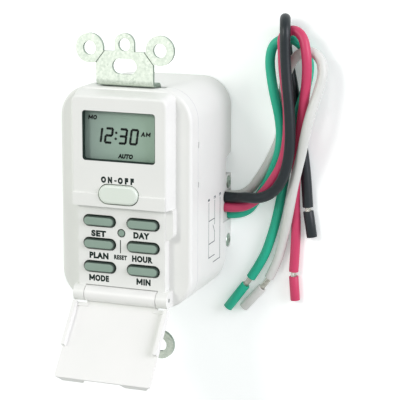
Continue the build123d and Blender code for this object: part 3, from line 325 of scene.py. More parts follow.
def soft_pvc(name, colour, scuffed, roughness, gloss_level=0.4):
    """Extruded PVC or moulded rubber: smooth, half glossy, with faint scuffs."""
    looks = {"IOR": 1.54, "Specular IOR Level": gloss_level}
    finish, shader, place = new_finish(name, looks)
    rubbed = {"Vector": place, "Scale": 1 / (scuff_size * MM), "Detail": 6.0, "Roughness": 0.65}
    scuffs = add_node(finish, "ShaderNodeTexNoise", rubbed).outputs["Fac"]
    tones = {0: scuffs, 6: linear(colour), 7: linear(scuffed)}
    tone = add_node(finish, "ShaderNodeMix", tones, data_type="RGBA").outputs[2]
    sheen = {"Value": scuffs, "To Min": roughness - 0.08, "To Max": roughness + 0.12}
    gloss = add_node(finish, "ShaderNodeMapRange", sheen).outputs["Result"]
    wavy = {"Vector": place, "Scale": 1 / (wave_size * MM), "Detail": 1.0}
    waves = add_node(finish, "ShaderNodeTexNoise", wavy)
    relief = {"Height": waves.outputs["Fac"], "Strength": 0.4, "Distance": 0.03 * MM}
    bump = add_node(finish, "ShaderNodeBump", relief).outputs["Normal"]
    connect(finish, shader, {"Base Color": tone, "Roughness": gloss, "Normal": bump})
    return finish


insulation = {
    # Black swallows the light, so only a soft shine shows that the lead is round
    "black": soft_pvc("black_pvc_insulation", "#10191d", "#1a2529", 0.36, 0.32),
    # Crimson and teal are strong pigments that keep their colour in the shade too
    "red": soft_pvc("crimson_pvc_insulation", "#cb3f68", "#c33860", 0.4),
    "green": soft_pvc("teal_green_pvc_insulation", "#10ad8a", "#1fb694", 0.4),
    # White PVC is a trace grey beside the paper, and its scuffs show most
    "white": soft_pvc("off_white_pvc_insulation", "#dcdfda", "#d1d5cf", 0.38),
}
# Moulded rubber in the side opening: pale and dull, so it hardly stands out from the case
grommet_rubber = soft_pvc("pale_grommet_rubber", "#d9dcd8", "#ced3ce", 0.6)
# Moulded silicone under the keys: dull grey, with no shine to show through the key gaps
mat_rubber = soft_pvc("grey_silicone_mat", "#8d9793", "#838d89", 0.6)
print("soft:", [m.name for m in (*insulation.values(), grommet_rubber, mat_rubber)])

# %% [markdown]
# ## Leads
# Each lead leaves the case at its lower right side and lies beside it in a loose bundle, then
# doubles back to its stripped end. Its route is a row of given places in millimetres, from
# the case's side to where the insulation is cut.

# %% Lead routes
lead_routes = {
    "black": (
        (22.2, -4.55, 5.75), (26.0, -4.55, 5.75), (30.3, -3.5, 8.5), (34.9, -3.4, 9.5),
        (39.3, -1.5, 9.8), (43.0, 2.8, 10.9), (45.4, 9.6, 12.0), (46.2, 17.8, 12.3),
        (45.6, 27.5, 12.3), (44.5, 37.0, 12.3), (43.9, 45.2, 12.3), (43.8, 53.1, 12.3),
        (42.2, 56.0, 7.1), (40.6, 52.6, 1.88), (41.6, 42.0, 1.88), (43.7, 32.7, 1.88),
        (45.8, 21.1, 1.88), (47.7, 10.3, 1.88), (48.8, 1.4, 1.88), (49.4, -6.6, 1.88),
    ),
    "red": (
        (22.2, -8.0, 5.65), (26.3, -8.0, 5.65), (30.6, -6.5, 5.5), (35.0, -2.7, 5.8),
        (38.5, 2.1, 6.9), (41.7, 7.0, 8.1), (43.8, 13.8, 8.7), (44.3, 22.4, 8.8),
        (43.7, 30.4, 8.8), (42.4, 38.4, 8.8), (42.0, 45.4, 8.8), (41.7, 50.1, 8.7),
        (45.3, 52.2, 8.2), (48.9, 50.1, 9.2), (50.4, 44.3, 10.2), (50.5, 37.6, 9.6),
        (49.5, 29.4, 8.8), (48.3, 21.5, 7.8), (47.5, 14.0, 6.5), (46.4, 7.2, 5.3),
        (45.4, 0.4, 3.5), (45.1, -6.6, 1.9), (45.5, -13.7, 1.75), (45.3, -21.2, 1.75),
        (44.9, -28.9, 1.75),
    ),
    "green": (
        (22.2, -10.9, 2.25), (25.2, -10.9, 2.25), (29.2, -9.2, 1.9), (31.5, -5.7, 1.8),
        (35.1, -0.6, 2.9), (38.2, 5.6, 4.4), (40.4, 11.7, 5.4), (41.0, 17.7, 5.6),
        (40.3, 24.0, 6.0), (38.6, 30.7, 6.25), (37.1, 37.1, 5.4), (36.6, 42.5, 5.2),
        (37.9, 46.9, 5.4), (41.4, 48.7, 5.4), (45.0, 48.5, 5.3), (47.2, 46.0, 3.1),
        (48.8, 42.0, 1.9), (49.0, 37.2, 1.75), (47.9, 31.5, 3.0), (46.9, 26.2, 5.2),
        (45.7, 20.6, 5.5), (44.1, 13.8, 4.5), (42.1, 6.7, 2.6), (40.9, 0.4, 1.75),
        (39.9, -5.4, 1.75), (38.6, -11.9, 1.75), (36.8, -18.5, 1.75), (34.2, -25.8, 1.75),
        (30.0, -32.4, 1.75),
    ),
    "white": (
        (22.2, -4.55, 2.25), (26.0, -4.55, 2.25), (29.6, -2.2, 1.75), (31.7, 0.6, 1.75),
        (34.7, 5.4, 1.75), (37.3, 10.5, 1.75), (39.4, 15.7, 1.75), (40.4, 21.7, 1.75),
        (40.5, 27.7, 2.1), (41.1, 32.6, 4.5), (42.5, 37.7, 5.5), (44.6, 42.0, 5.9),
        (47.5, 44.7, 6.6), (51.2, 45.2, 6.6), (54.3, 42.7, 7.1), (55.3, 38.6, 8.0),
        (54.4, 33.9, 8.9), (53.1, 29.2, 10.0), (51.9, 24.5, 11.1), (50.7, 19.2, 11.0),
        (49.3, 13.1, 9.8), (47.5, 6.8, 8.5), (45.7, 0.1, 7.0), (44.2, -6.6, 5.5),
        (42.6, -13.2, 3.5), (40.7, -20.2, 1.8), (39.1, -26.4, 1.75), (36.4, -31.9, 1.75),
    ),
}
lead_diameters = {"black": 3.5, "red": 3.2, "green": 3.2, "white": 3.2}
print("route points:", {colour: len(route) for colour, route in lead_routes.items()})

# %% [markdown]
# A real lead bends in smooth curves under its own weight. A NURBS curve does the same: its
# control points pull the line without it passing through them. Its order is set after the points
# are added, because before that Blender cuts it down to what one point allows. A bevel gives the
# line the lead's round section.

# %% Lead curves
def lead_line(name, route):
    """A NURBS curve object that follows a route given in millimetres."""
    line = bpy.data.curves.new(name, "CURVE")
    line.dimensions = "3D"
    line.resolution_u = 10
    spline = line.splines.new("NURBS")
    spline.points.add(len(route) - 1)
    for point, place in zip(spline.points, route):
        point.co = (*(Vector(place) * MM), 1)
    spline.order_u = 3
    spline.use_endpoint_u = True
    thing = bpy.data.objects.new(name, line)
    bpy.context.scene.collection.objects.link(thing)
    return thing


leads = {}
for colour, route in lead_routes.items():
    lead = lead_line(f"flexible_lead_{colour}", route)
    lead.data.bevel_depth = lead_diameters[colour] / 2 * MM
    lead.data.bevel_resolution = 7
    lead.data.use_fill_caps = True
    lead.data.materials.append(insulation[colour])
    leads[colour] = lead
print("leads:", list(leads))

# %% [markdown]
# ## Stripped ends
# The insulation near each tip has been cut round and pushed along, so a short collar of it still
# covers the tip and a few millimetres of tinned strands show in the gap. The conductor runs on
# from the insulation's end, bends a little at a knee and stops just short of the tip. Its smooth
# line is read from Blender's own mesh of a bare curve, so that it bends as the leads do.

# %% Lines of the bare conductors
tip_ends = {
    "black": (51.0, -16.6, 1.88),
    "red": (45.6, -38.7, 1.75),
    "green": (21.9, -43.6, 1.75),
    "white": (27.5, -43.0, 1.75),
}
bare_lengths = {"black": 1.4, "red": 1.6, "green": 3.2, "white": 4.4}
end_gap = 0.1


def stripped_end(colour):
    """Where the insulation stops, where the bare part bends, the tip, and the way to the tip."""
    before_end, end = (Vector(place) for place in lead_routes[colour][-2:])
    knee = end + (end - before_end).normalized() * bare_lengths[colour] / 2
    tip = Vector(tip_ends[colour])
    return end, knee, tip, (tip - knee).normalized()


def read_line(name, route):
    """Points along the smooth line of a route, from Blender's own mesh of the bare curve."""
    thing = lead_line(name, route)
    thing.data.resolution_u = 24
    mesh = bpy.data.meshes.new_from_object(thing)
    points = [vertex.co.copy() for vertex in mesh.vertices]
    bpy.data.objects.remove(thing)
    bpy.data.meshes.remove(mesh)
    return points


conductor_lines = {}
for colour in leads:
    end, knee, tip, forward = stripped_end(colour)
    conductor_lines[colour] = read_line("conductor_line", (end, knee, tip - forward * end_gap))
print("points on each line:", [len(line) for line in conductor_lines.values()])

# %% [markdown]
# The conductor is a rope of 19 wires: one in the middle, six round it and twelve outside, twisted
# one turn in about 14 mm. A striped texture on one rod would look smooth at its outline, so each
# wire is a thin tube of its own that winds round the conductor's line.

# %% Stranded conductors
strand_radius = 0.185
# How many wires lie on each ring, and the ring's radius
strand_layers = ((1, 0.0), (6, 0.38), (12, 0.76))
lay_length = 14.0


def make_active(thing):
    """Deselects everything, then selects one object and makes it the active one."""
    bpy.ops.object.select_all(action="DESELECT")
    thing.select_set(True)
    bpy.context.view_layer.objects.active = thing


def as_mesh(thing):
    """Turns a curve object into a mesh object."""
    make_active(thing)
    bpy.ops.object.convert(target="MESH")
    return bpy.context.object


def wound_strand(curve, middle, ring, start_angle, shortened):
    """Adds one wire to a curve: it winds round the middle points at a given radius."""
    points, travelled = [], 0.0
    for index, place in enumerate(middle[: len(middle) - shortened]):
        before = middle[max(index - 1, 0)]
        after = middle[min(index + 1, len(middle) - 1)]
        ahead = (after - before).normalized()
        aside = ahead.cross(Vector((0, 0, 1))).normalized()
        above = aside.cross(ahead)
        travelled += (place - before).length
        angle = start_angle + 2 * pi * travelled / (lay_length * MM)
        points.append(place + (aside * cos(angle) + above * sin(angle)) * ring * MM)
    spline = curve.splines.new("POLY")
    spline.points.add(len(points) - 1)
    for point, place in zip(spline.points, points):
        point.co = (*place, 1)


strands = {}
for colour, middle in conductor_lines.items():
    bundle = bpy.data.curves.new(f"stranded_conductor_{colour}", "CURVE")
    bundle.dimensions = "3D"
    bundle.bevel_depth = strand_radius * MM
    bundle.bevel_resolution = 2
    bundle.use_fill_caps = True
    for count, ring in strand_layers:
        for number in range(count):
            # The wires end a few points apart, as cut strands do
            shortened = (number * 2 + count) % 3
            wound_strand(bundle, middle, ring, 2 * pi * number / count, shortened)
    bundle.materials.append(tinned_copper)
    rope = bpy.data.objects.new(bundle.name, bundle)
    bpy.context.scene.collection.objects.link(rope)
    strands[colour] = as_mesh(rope)
    print(strands[colour].name, len(strands[colour].data.polygons), "faces")

# %% [markdown]
# The collar is a short length of the same tube. A solid rod would run through the strands, so it
# starts as an open cylinder, Solidify gives it the insulation's wall and Bevel takes the sharp
# edge off the cut. Its turn and place are applied to its mesh, so that the object itself stays at
# the origin.

# %% Insulation collars
def apply_modifier(thing, kind, **options):
    """Adds a modifier with its options and applies it."""
    modifier = thing.modifiers.new(kind.lower(), kind)
    for option, value in options.items():
        setattr(modifier, option, value)
    make_active(thing)
    bpy.ops.object.modifier_apply(modifier=modifier.name)


def break_edges(thing, width, segments, sharpest):
    """Rounds the edges that are sharper than an angle in degrees."""
    limit = {"limit_method": "ANGLE", "angle_limit": radians(sharpest)}
    apply_modifier(thing, "BEVEL", width=width * MM, segments=segments, **limit)


conductor_radius = 0.95
collar_bore = 0.02
collars = {}
for colour in leads:
    end, knee, tip, forward = stripped_end(colour)
    start = knee + forward * bare_lengths[colour] / 2
    outer = lead_diameters[colour] / 2
    bpy.ops.mesh.primitive_cylinder_add(
        vertices=48,
        radius=outer * MM,
        depth=(tip - start).length * MM,
        end_fill_type="NOTHING",
        location=(start + tip) / 2 * MM,
        rotation=forward.to_track_quat("Z", "Y").to_euler(),
    )
    collar = bpy.context.object
    collar.name = f"insulation_collar_{colour}"
    bpy.ops.object.transform_apply(location=True, rotation=True, scale=True)
    wall = outer - conductor_radius - collar_bore
    apply_modifier(collar, "SOLIDIFY", thickness=wall * MM, offset=-1)
    break_edges(collar, 0.12, 2, 50)
    bpy.ops.object.shade_smooth_by_angle(angle=radians(40))
    collar.data.materials.append(insulation[colour])
    collars[colour] = collar
print("collars:", [round(c.dimensions.length / MM, 1) for c in collars.values()])

# %% [markdown]
# Inside the case each lead goes on through the grommet, turns up and ends in a solder pin in the
# power board. These lengths are seldom seen, so a plain curve and a pin with a rounded end do.

# %% Inner ends of the leads
tail_columns = {"black": 13.4, "red": 13.4, "green": 8.4, "white": 8.4}
case_side = 22.2
board_underside = 9.0
pin_radius, pin_length = 0.8, 2.6
inner_ends = {}
for colour, route in lead_routes.items():
    level_start = Vector((case_side, route[0][1], route[0][2]))
    turn = Vector((tail_columns[colour], level_start.y, level_start.z))
    up_run = Vector((turn.x, turn.y, board_underside - end_gap))
    halfway = (level_start + turn) / 2
    inner = lead_line(f"inner_lead_{colour}", (level_start, halfway, turn, up_run))
    inner.data.bevel_depth = lead_diameters[colour] / 2 * MM
    inner.data.bevel_resolution = 5
    inner.data.use_fill_caps = True
    inner.data.materials.append(insulation[colour])
    inner = as_mesh(inner)
    pin_middle = up_run + Vector((0, 0, pin_length / 2))
    bpy.ops.mesh.primitive_cylinder_add(
        vertices=24, radius=pin_radius * MM, depth=pin_length * MM, location=pin_middle * MM
    )
    pin = bpy.context.object
    bpy.ops.object.transform_apply(location=True)
    break_edges(pin, 0.25, 3, 30)
    pin.data.materials.append(tinned_copper)
    make_active(inner)
    pin.select_set(True)
    bpy.ops.object.join()
    inner_ends[colour] = inner
print("inner ends:", list(inner_ends))

# %% [markdown]
# Every piece rides on a body of the fixed frame, and the ready-made solid that it stands in for is
# hidden.

# %% Tie the leads to the case
for colour, lead in leads.items():
    for piece, node in (
        (lead, f"lead_{colour}"),
        (strands[colour], f"conductor_{colour}"),
        (collars[colour], f"sleeve_{colour}"),
        (inner_ends[colour], f"lead_tail_{colour}"),
    ):
        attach(piece, "housing")
        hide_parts(node)
print("leads tied")

# %% [markdown]
# ## Screws
# The lead cover is held by four small pan-head screws in its sides, and the case by four long
# ones from the back. A pan head is a low dome. It starts as a cylinder whose top face is extruded
# and narrowed in steps. The shank grows out of the bottom face in the same way, and its thread is
# a row of rings: far cheaper than a helix and the same to the eye.

# %% A screw's body
def select_faces(thing, wanted):
    """In edit mode, selects the faces for which wanted(normal) is true."""
    bpy.ops.mesh.select_mode(type="FACE")
    bpy.ops.mesh.select_all(action="DESELECT")
    shape = bmesh.from_edit_mesh(thing.data)
    for face in shape.faces:
        face.select_set(wanted(face.normal))
    bmesh.update_edit_mesh(thing.data)


def step_out(rise, share):
    """Extrudes the selected faces along Z by a rise in millimetres, scaled in X and Y."""
    bpy.ops.mesh.extrude_region_move(TRANSFORM_OT_translate={"value": (0, 0, rise * MM)})
    bpy.ops.transform.resize(value=(share, share, 1))


# The head's rim, then each step of its dome as shares of the head's height and of the width below
head_rim = 0.45
dome_steps = ((0.2, 0.95), (0.18, 0.88), (0.12, 0.75), (0.05, 0.5))
thread_root = 0.82
screw_point = 0.45


def screw_body(head_radius, head_height, shank_radius, shank_length, pitch):
    """A screw's head and shank, turned from one cylinder that stands on the origin."""
    rim = head_height * head_rim
    bpy.ops.mesh.primitive_cylinder_add(
        vertices=48, radius=head_radius * MM, depth=rim * MM, location=(0, 0, rim / 2 * MM)
    )
    screw = bpy.context.object
    bpy.ops.object.transform_apply(location=True)
    bpy.ops.object.mode_set(mode="EDIT")
    select_faces(screw, lambda normal: normal.z > 0.9)
    for rise, share in dome_steps:
        step_out(head_height * rise, share)
    select_faces(screw, lambda normal: normal.z < -0.9)
    bpy.ops.mesh.inset(thickness=(head_radius - shank_radius) * MM)
    bpy.ops.mesh.extrude_region_move(TRANSFORM_OT_translate={"value": (0, 0, -pitch * MM)})
    turns = int((shank_length - 2 * pitch) / pitch)
    for turn in range(2 * turns):
        step_out(-pitch / 2, thread_root if turn % 2 == 0 else 1 / thread_root)
    step_out(-(shank_length - pitch * (turns + 1)), screw_point)
    bpy.ops.object.mode_set(mode="OBJECT")
    return screw


print("steps from rim to top of a dome:", len(dome_steps))

# %% [markdown]
# The driver's cross is pressed into the head, so its walls taper. Two crossed blades, narrower at
# the bottom, are cut out of the head by Boolean modifiers. One screw of each kind is made, on the
# origin, and serves as the model for its copies.

# %% The cross recess
# A blade's length and width in head radii, its height in head heights, and its taper
blade_length, blade_width, blade_height = 1.15, 0.24, 1.3
blade_taper = 0.45


def cross_screw(name, head_radius, head_height, shank_radius, shank_length, pitch):
    """A pan-head screw that stands on the origin: its head above, its shank below."""
    screw = screw_body(head_radius, head_height, shank_radius, shank_length, pitch)
    screw.name = name
    for turned in (pi / 4, 3 * pi / 4):
        bpy.ops.mesh.primitive_cube_add(
            size=1, location=(0, 0, head_height * MM), rotation=(0, 0, turned)
        )
        blade = bpy.context.object
        footprint = (head_radius * blade_length, head_radius * blade_width)
        blade.scale = Vector((*footprint, head_height * blade_height)) * MM
        bpy.ops.object.transform_apply(location=True, rotation=True, scale=True)
        bpy.ops.object.mode_set(mode="EDIT")
        select_faces(blade, lambda normal: normal.z < -0.9)
        bpy.ops.transform.resize(value=(blade_taper, blade_taper, 1))
        bpy.ops.object.mode_set(mode="OBJECT")
        apply_modifier(screw, "BOOLEAN", operation="DIFFERENCE", object=blade, solver="EXACT")
        bpy.data.objects.remove(blade)
    make_active(screw)
    bpy.ops.object.shade_smooth_by_angle(angle=radians(35))
    screw.data.materials.clear()
    screw.data.materials.append(zinc_screw)
    return screw


# Each model's head radius and height, its shank's radius and length, and the thread's pitch
cover_screw = cross_screw("cover_screw_model", 2.2, 1.3, 0.9, 4.4, 0.7)
case_screw = cross_screw("case_screw_model", 2.2, 1.55, 1.25, 27.5, 1.2)
print("screw models:", len(cover_screw.data.polygons), len(case_screw.data.polygons), "faces")

# %% [markdown]
# Copies of each model's mesh are turned to where they go: heads outwards in the cover's two
# sides, and heads down in the back. The four copies are then joined, because they are fixed to
# the same case.

# %% Place the screws
def merged(pieces, name):
    """Joins several meshes as one named piece."""
    make_active(pieces[0])
    for piece in pieces:
        piece.select_set(True)
    bpy.ops.object.join()
    pieces[0].name = name
    return pieces[0]


def copies_at(model, name, placings):
    """Copies of one model, each with its own mesh moved to its place, joined as one piece."""
    parts = []
    for placing in placings:
        part = bpy.data.objects.new("screw", model.data.copy())
        part.data.transform(placing)
        bpy.context.scene.collection.objects.link(part)
        parts.append(part)
    bpy.data.objects.remove(model)
    return merged(parts, name)


cover_screw_seat, cover_screw_rows, cover_screw_height = 21.3, (0.0, -19.9), 2.85
placings = []
for side in (-1, 1):
    for row in cover_screw_rows:
        seat = Vector((side * cover_screw_seat, row, cover_screw_height)) * MM
        placings.append(Matrix.Translation(seat) @ Matrix.Rotation(side * pi / 2, 4, "Y"))
cover_screws = copies_at(cover_screw, "cross_recess_cover_screws", placings)
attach(cover_screws, "housing")
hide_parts("lead_cover_screws")

case_screw_x, case_screw_y, case_screw_height = 16.7, 29.5, 8.6
placings = []
for side in (-1, 1):
    for end in (-1, 1):
        seat = Vector((side * case_screw_x, end * case_screw_y, case_screw_height)) * MM
        placings.append(Matrix.Translation(seat) @ Matrix.Rotation(pi, 4, "X"))
case_screws = copies_at(case_screw, "cross_recess_case_screws", placings)
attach(case_screws, "housing")
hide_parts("case_screws")
print("screws:", len(cover_screws.data.polygons), len(case_screws.data.polygons), "faces")

# %% [markdown]
# ## Display
# The digits are made of seven-segment bars: slim hexagons with pointed ends. One bar is shaped
# from a six-sided circle whose two halves are pulled apart and which is then given a thickness,
# and the rest are copies. Marks are a fiftieth of a millimetre thick and stand half as much clear
# of the cell, because two faces in one plane would shade each other.

# %% One display segment
def thicken(height):
    """In edit mode, extrudes the whole flat mesh up, turns its normals out and leaves the mode."""
    bpy.ops.mesh.select_all(action="SELECT")
    bpy.ops.mesh.extrude_region_move(TRANSFORM_OT_translate={"value": (0, 0, height * MM)})
    bpy.ops.mesh.select_all(action="SELECT")
    bpy.ops.mesh.normals_make_consistent(inside=False)
    bpy.ops.object.mode_set(mode="OBJECT")


def flat_bar(name, length, width, thickness):
    """A flat hexagonal bar along X, its middle at the origin."""
    corner_radius = width / 2 / cos(radians(30))
    bpy.ops.mesh.primitive_circle_add(vertices=6, radius=corner_radius * MM, fill_type="NGON")
    bar = bpy.context.object
    bar.name = name
    bpy.ops.transform.rotate(value=radians(30), orient_axis="Z", center_override=(0, 0, 0))
    bpy.ops.object.transform_apply(rotation=True)
    bpy.ops.object.mode_set(mode="EDIT")
    for side in (-1, 1):
        bpy.ops.mesh.select_mode(type="VERT")
        bpy.ops.mesh.select_all(action="DESELECT")
        shape = bmesh.from_edit_mesh(bar.data)
        for corner in shape.verts:
            corner.select_set(corner.co.x * side > width * 0.05 * MM)
        bmesh.update_edit_mesh(bar.data)
        bpy.ops.transform.translate(value=(side * (length - width) / 2 * MM, 0, 0))
    thicken(thickness)
    return bar


print_thickness, print_gap = 0.02, 0.01
bar_length, bar_width = 2.28, 0.76
model_bar = flat_bar("model_bar", bar_length, bar_width, print_thickness)
print("segment:", [round(side / MM, 2) for side in model_bar.dimensions], "mm")

# %% [markdown]
# Four digits show the time. Each is set out in shares of its width and height, so one table of
# the seven bars serves all of them, and a slanting matrix leans each digit to the right by about
# 8 degrees.

# %% The digits of the time
def slant(share):
    """A matrix that leans a print to the right by a share of its height."""
    return Matrix(((1, share, 0, 0), (0, 1, 0, 0), (0, 0, 1, 0), (0, 0, 0, 1)))


cell_face = 41.05
digit_width, digit_height = 2.15, 4.5
digit_base = 17.85
lean = tan(radians(8))
# The digits of the time, each with its left edge, and the bars that are lit in each
time_digits = (("1", -9.35), ("2", -5.75), ("3", -0.95), ("0", 2.75))
lit_bars = {"1": "cd", "2": "acefg", "3": "acdfg", "0": "abcdef"}
# Each bar's middle in shares of the digit's width and height, and whether it stands upright
bar_shares = {
    "a": (0.5, 1.0, False),
    "b": (0.0, 0.75, True),
    "c": (1.0, 0.75, True),
    "d": (1.0, 0.25, True),
    "e": (0.0, 0.25, True),
    "f": (0.5, 0.0, False),
    "g": (0.5, 0.5, False),
}


def digit_bars(figure, left, model):
    """The lit bars of one digit, each a copy of the model bar, leaning to the right."""
    corner = Matrix.Translation(Vector((left, digit_base, cell_face)) * MM)
    bars = []
    for letter in lit_bars[figure]:
        x_share, y_share, upright = bar_shares[letter]
        middle = Vector((x_share * digit_width, y_share * digit_height, print_gap)) * MM
        turned = Matrix.Rotation(pi / 2 if upright else 0, 4, "Z")
        bar = bpy.data.objects.new("bar", model.data.copy())
        bar.data.transform(corner @ slant(lean) @ Matrix.Translation(middle) @ turned)
        bpy.context.scene.collection.objects.link(bar)
        bars.append(bar)
    return bars


pieces = []
for figure, left in time_digits:
    pieces += digit_bars(figure, left, model_bar)
bpy.data.objects.remove(model_bar)
print("lit bars:", len(pieces))

# %% [markdown]
# The colon is two round dots. They lean with the digits, so the upper one stands a little to the
# right. Each is a thin disc with a narrow border inset in its top.

# %% The colon
colon_dots = ((-2.06, 19.2), (-1.86, 21.1))
dot_radius, dot_border = 0.42, 0.05
for x, y in colon_dots:
    bpy.ops.mesh.primitive_cylinder_add(
        vertices=20,
        radius=dot_radius * MM,
        depth=print_thickness * MM,
        location=Vector((x, y, cell_face + print_gap + print_thickness / 2)) * MM,
    )
    dot = bpy.context.object
    bpy.ops.object.transform_apply(location=True)
    bpy.ops.object.mode_set(mode="EDIT")
    select_faces(dot, lambda normal: normal.z > 0.9)
    bpy.ops.mesh.inset(thickness=dot_border * MM)
    bpy.ops.object.mode_set(mode="OBJECT")
    pieces.append(dot)
print("display bars and dots:", len(pieces))

# %% [markdown]
# The display also shows a day, the half of the day and the mode, all in slanted letters. Small
# words are real text objects made meshes, then scaled to the height and width that the real print
# has and laid on their surface. The font's outline is pushed out a little to make the letters
# bold. Each surface is a matrix that turns print coordinates, x to the right, y up and z out,
# into the object's.

# %% Words on the display
on_display = Matrix.Translation((0, 0, cell_face + print_gap))


def flat_word(words, height, width, middle, surface, bold=0.026, spacing=1.0, leaning=0.0):
    """A printed word of a given height and width in millimetres, its middle at a place."""
    bpy.ops.object.text_add()
    word = bpy.context.object
    word.data.body = words
    word.data.offset = bold
    word.data.space_character = spacing
    word.data.extrude = 0.5
    word.data.resolution_u = 4
    bpy.ops.object.convert(target="MESH")
    word = bpy.context.object
    corners = [vertex.co for vertex in word.data.vertices]
    low = Vector([min(corner[axis] for corner in corners) for axis in range(3)])
    high = Vector([max(corner[axis] for corner in corners) for axis in range(3)])
    size = high - low
    fitted = Matrix.Diagonal((width / size.x, height / size.y, print_thickness / size.z, 1))
    laid = surface @ Matrix.Translation((*middle, 0)) @ slant(leaning) @ fitted
    word.data.transform(Matrix.Scale(MM, 4) @ laid @ Matrix.Translation(-(low + high) / 2))
    return word


word_lean = 0.14
# Each word's height, width and the place of its middle
for words, height, width, x, y in (
    ("O", 1.5, 1.3, -9.0, 25.6),
    ("A", 1.45, 1.55, 7.2, 21.15),
    ("AUTO", 1.55, 5.0, 1.22, 13.8),
):
    pieces.append(flat_word(words, height, width, (x, y), on_display, 0.08, 1.14, word_lean))
print("display pieces with words:", len(pieces))

# %% [markdown]
# With its outline pushed out, the font's M fills wrongly. So an M is four flat bars, each a trace
# thicker than the one before, because faces in one plane would shade each other.

# %% The letter M
# How high above its foot the two slanting strokes meet, as a share of the letter's height
valley_share = 0.2


def flat_line(start, end, width, surface, thickness=print_thickness):
    """A printed line between two places on a surface, as a flat bar."""
    along = Vector(end) - Vector(start)
    line = flat_bar("line", along.length + width, width, thickness)
    turned = Matrix.Rotation(along.angle_signed(Vector((1, 0))), 4, "Z")
    middle = Matrix.Translation((*((Vector(start) + Vector(end)) / 2), 0))
    placed = Matrix.Scale(MM, 4) @ surface @ middle @ Matrix.Scale(1 / MM, 4)
    line.data.transform(placed @ turned)
    return line


def letter_m(height, width, middle, surface, stroke_share=0.25, leaning=0.0):
    """An M of four bars, which joins a word whose other letters are text."""
    stroke = height * stroke_share
    left, low = middle[0] - width / 2 + stroke / 2, middle[1] - height / 2 + stroke / 2
    right, high = left + width - stroke, low + height - stroke
    lean_high = leaning * (high - low)
    valley = ((left + right + lean_high) / 2, low + height * valley_share)
    strokes = (
        ((left, low), (left + lean_high, high)),
        ((right, low), (right + lean_high, high)),
        ((left + lean_high, high), valley),
        ((right + lean_high, high), valley),
    )
    return [
        flat_line(start, end, stroke, surface, print_thickness * (1 + number / 10))
        for number, (start, end) in enumerate(strokes)
    ]


pieces += letter_m(1.5, 1.5, (-10.6, 25.6), on_display, leaning=word_lean)
pieces += letter_m(1.45, 1.5, (8.8, 21.15), on_display, leaning=word_lean)
print("display pieces with both M:", len(pieces))

# %% [markdown]
# In the real cell all the dark marks are one layer, so they are joined as one piece. It gets the
# segments' black in place of what the pieces came with.

# %% Ink the display
def inked(pieces, name, finish):
    """Joins printed pieces as one and gives it its ink."""
    print_piece = merged(pieces, name)
    print_piece.data.materials.clear()
    print_piece.data.materials.append(finish)
    print(name, len(print_piece.data.polygons), "faces")
    return print_piece


display_marks = inked(pieces, "display_segments", segment_black)
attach(display_marks, "housing")

# %% [markdown]
# A thin dark gasket lines the window opening. Seen from the upper right it shows as a dark line
# along the left and bottom edges and almost vanishes at the others. It is a flat plate with
# rounded corners, inset, its middle deleted and the rim extruded up, which gives all four corners
# the same round. Its opening sits a little to the upper right, so that the two sides that show
# are the wider ones.

# %% Window gasket
gasket_middle = Vector((0, 20.235, 42.5))
gasket_width, gasket_height, gasket_depth = 24.46, 15.76, 1.25
gasket_corner, gasket_wall = 0.98, 0.26
opening_shift = (0.1, 0.14, 0)
bpy.ops.mesh.primitive_plane_add(size=1, location=gasket_middle * MM)
gasket = bpy.context.object
gasket.name = "window_gasket"
gasket.scale = (gasket_width * MM, gasket_height * MM, 1)
bpy.ops.object.transform_apply(location=True, scale=True)
bpy.ops.object.mode_set(mode="EDIT")
bpy.ops.mesh.select_all(action="SELECT")
bpy.ops.mesh.bevel(offset=gasket_corner * MM, segments=8, affect="VERTICES")
bpy.ops.mesh.select_all(action="SELECT")
bpy.ops.mesh.inset(thickness=gasket_wall * MM)
bpy.ops.transform.translate(value=Vector(opening_shift) * MM)
bpy.ops.mesh.delete(type="FACE")
thicken(gasket_depth)
gasket.data.materials.append(gasket_black)
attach(gasket, "housing")
print("gasket:", len(gasket.data.polygons), "faces")

# %% [markdown]
# ## Printed legends
# The keys' names are pad-printed on the plateau under each key, and ON-OFF on the panel above its
# button. A thin line runs from the reset button down to its word. The letters of ON-OFF stand
# well apart, each in its own place along the line.

# %% Face print
panel_face, plateau_face = 43.9, 42.0
on_panel = Matrix.Translation((0, 0, panel_face))
on_plateau = Matrix.Translation((0, 0, plateau_face))
# Each letter's width and the x of its middle
on_off_letters = (
    ("O", 1.75, -5.09),
    ("N", 1.45, -2.9),
    ("O", 1.7, 0.6),
    ("F", 1.15, 2.7),
    ("F", 1.15, 4.6),
)
legend_height = 2.1
face_words = []
for letter, width, x in on_off_letters:
    face_words.append(flat_word(letter, legend_height, width, (x, 6.52), on_panel, 0.09))
face_words.append(flat_line((-1.25, 6.4), (-0.85, 6.4), 0.46, on_panel))
# Each legend's width and the place of its middle
for words, width, x, y in (
    ("SET", 5.1, -7.76, -11.46),
    ("PLAN", 6.6, -7.73, -18.65),
    ("ODE", 4.75, -6.72, -26.06),
    ("DAY", 5.5, 6.88, -11.0),
    ("HOUR", 7.0, 7.12, -18.59),
    ("IN", 2.5, 8.68, -25.97),
):
    face_words.append(flat_word(words, legend_height, width, (x, y), on_plateau, 0.068, 1.14))
face_words += letter_m(legend_height, 2.0, (-10.2, -26.06), on_plateau)
face_words += letter_m(legend_height, 2.1, (6.15, -25.97), on_plateau)
face_words.append(flat_word("RESET", 1.55, 4.4, (-0.32, -18.63), on_plateau, 0.06, 1.12))
face_words.append(flat_line((-0.3, -13.1), (-0.3, -17.1), 0.3, on_plateau))
face_print = inked(face_words, "face_legends", legend_ink)
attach(face_print, "housing")

# %% [markdown]
# The right side of the case carries a plain wiring sketch in slate grey: a supply box, three
# conductors with numbers and an open switch contact. Each line is a flat bar between two places
# given as (y, z) on the side wall. Each is a trace thicker than the one before, because faces in
# one plane would shade each other where the lines meet.

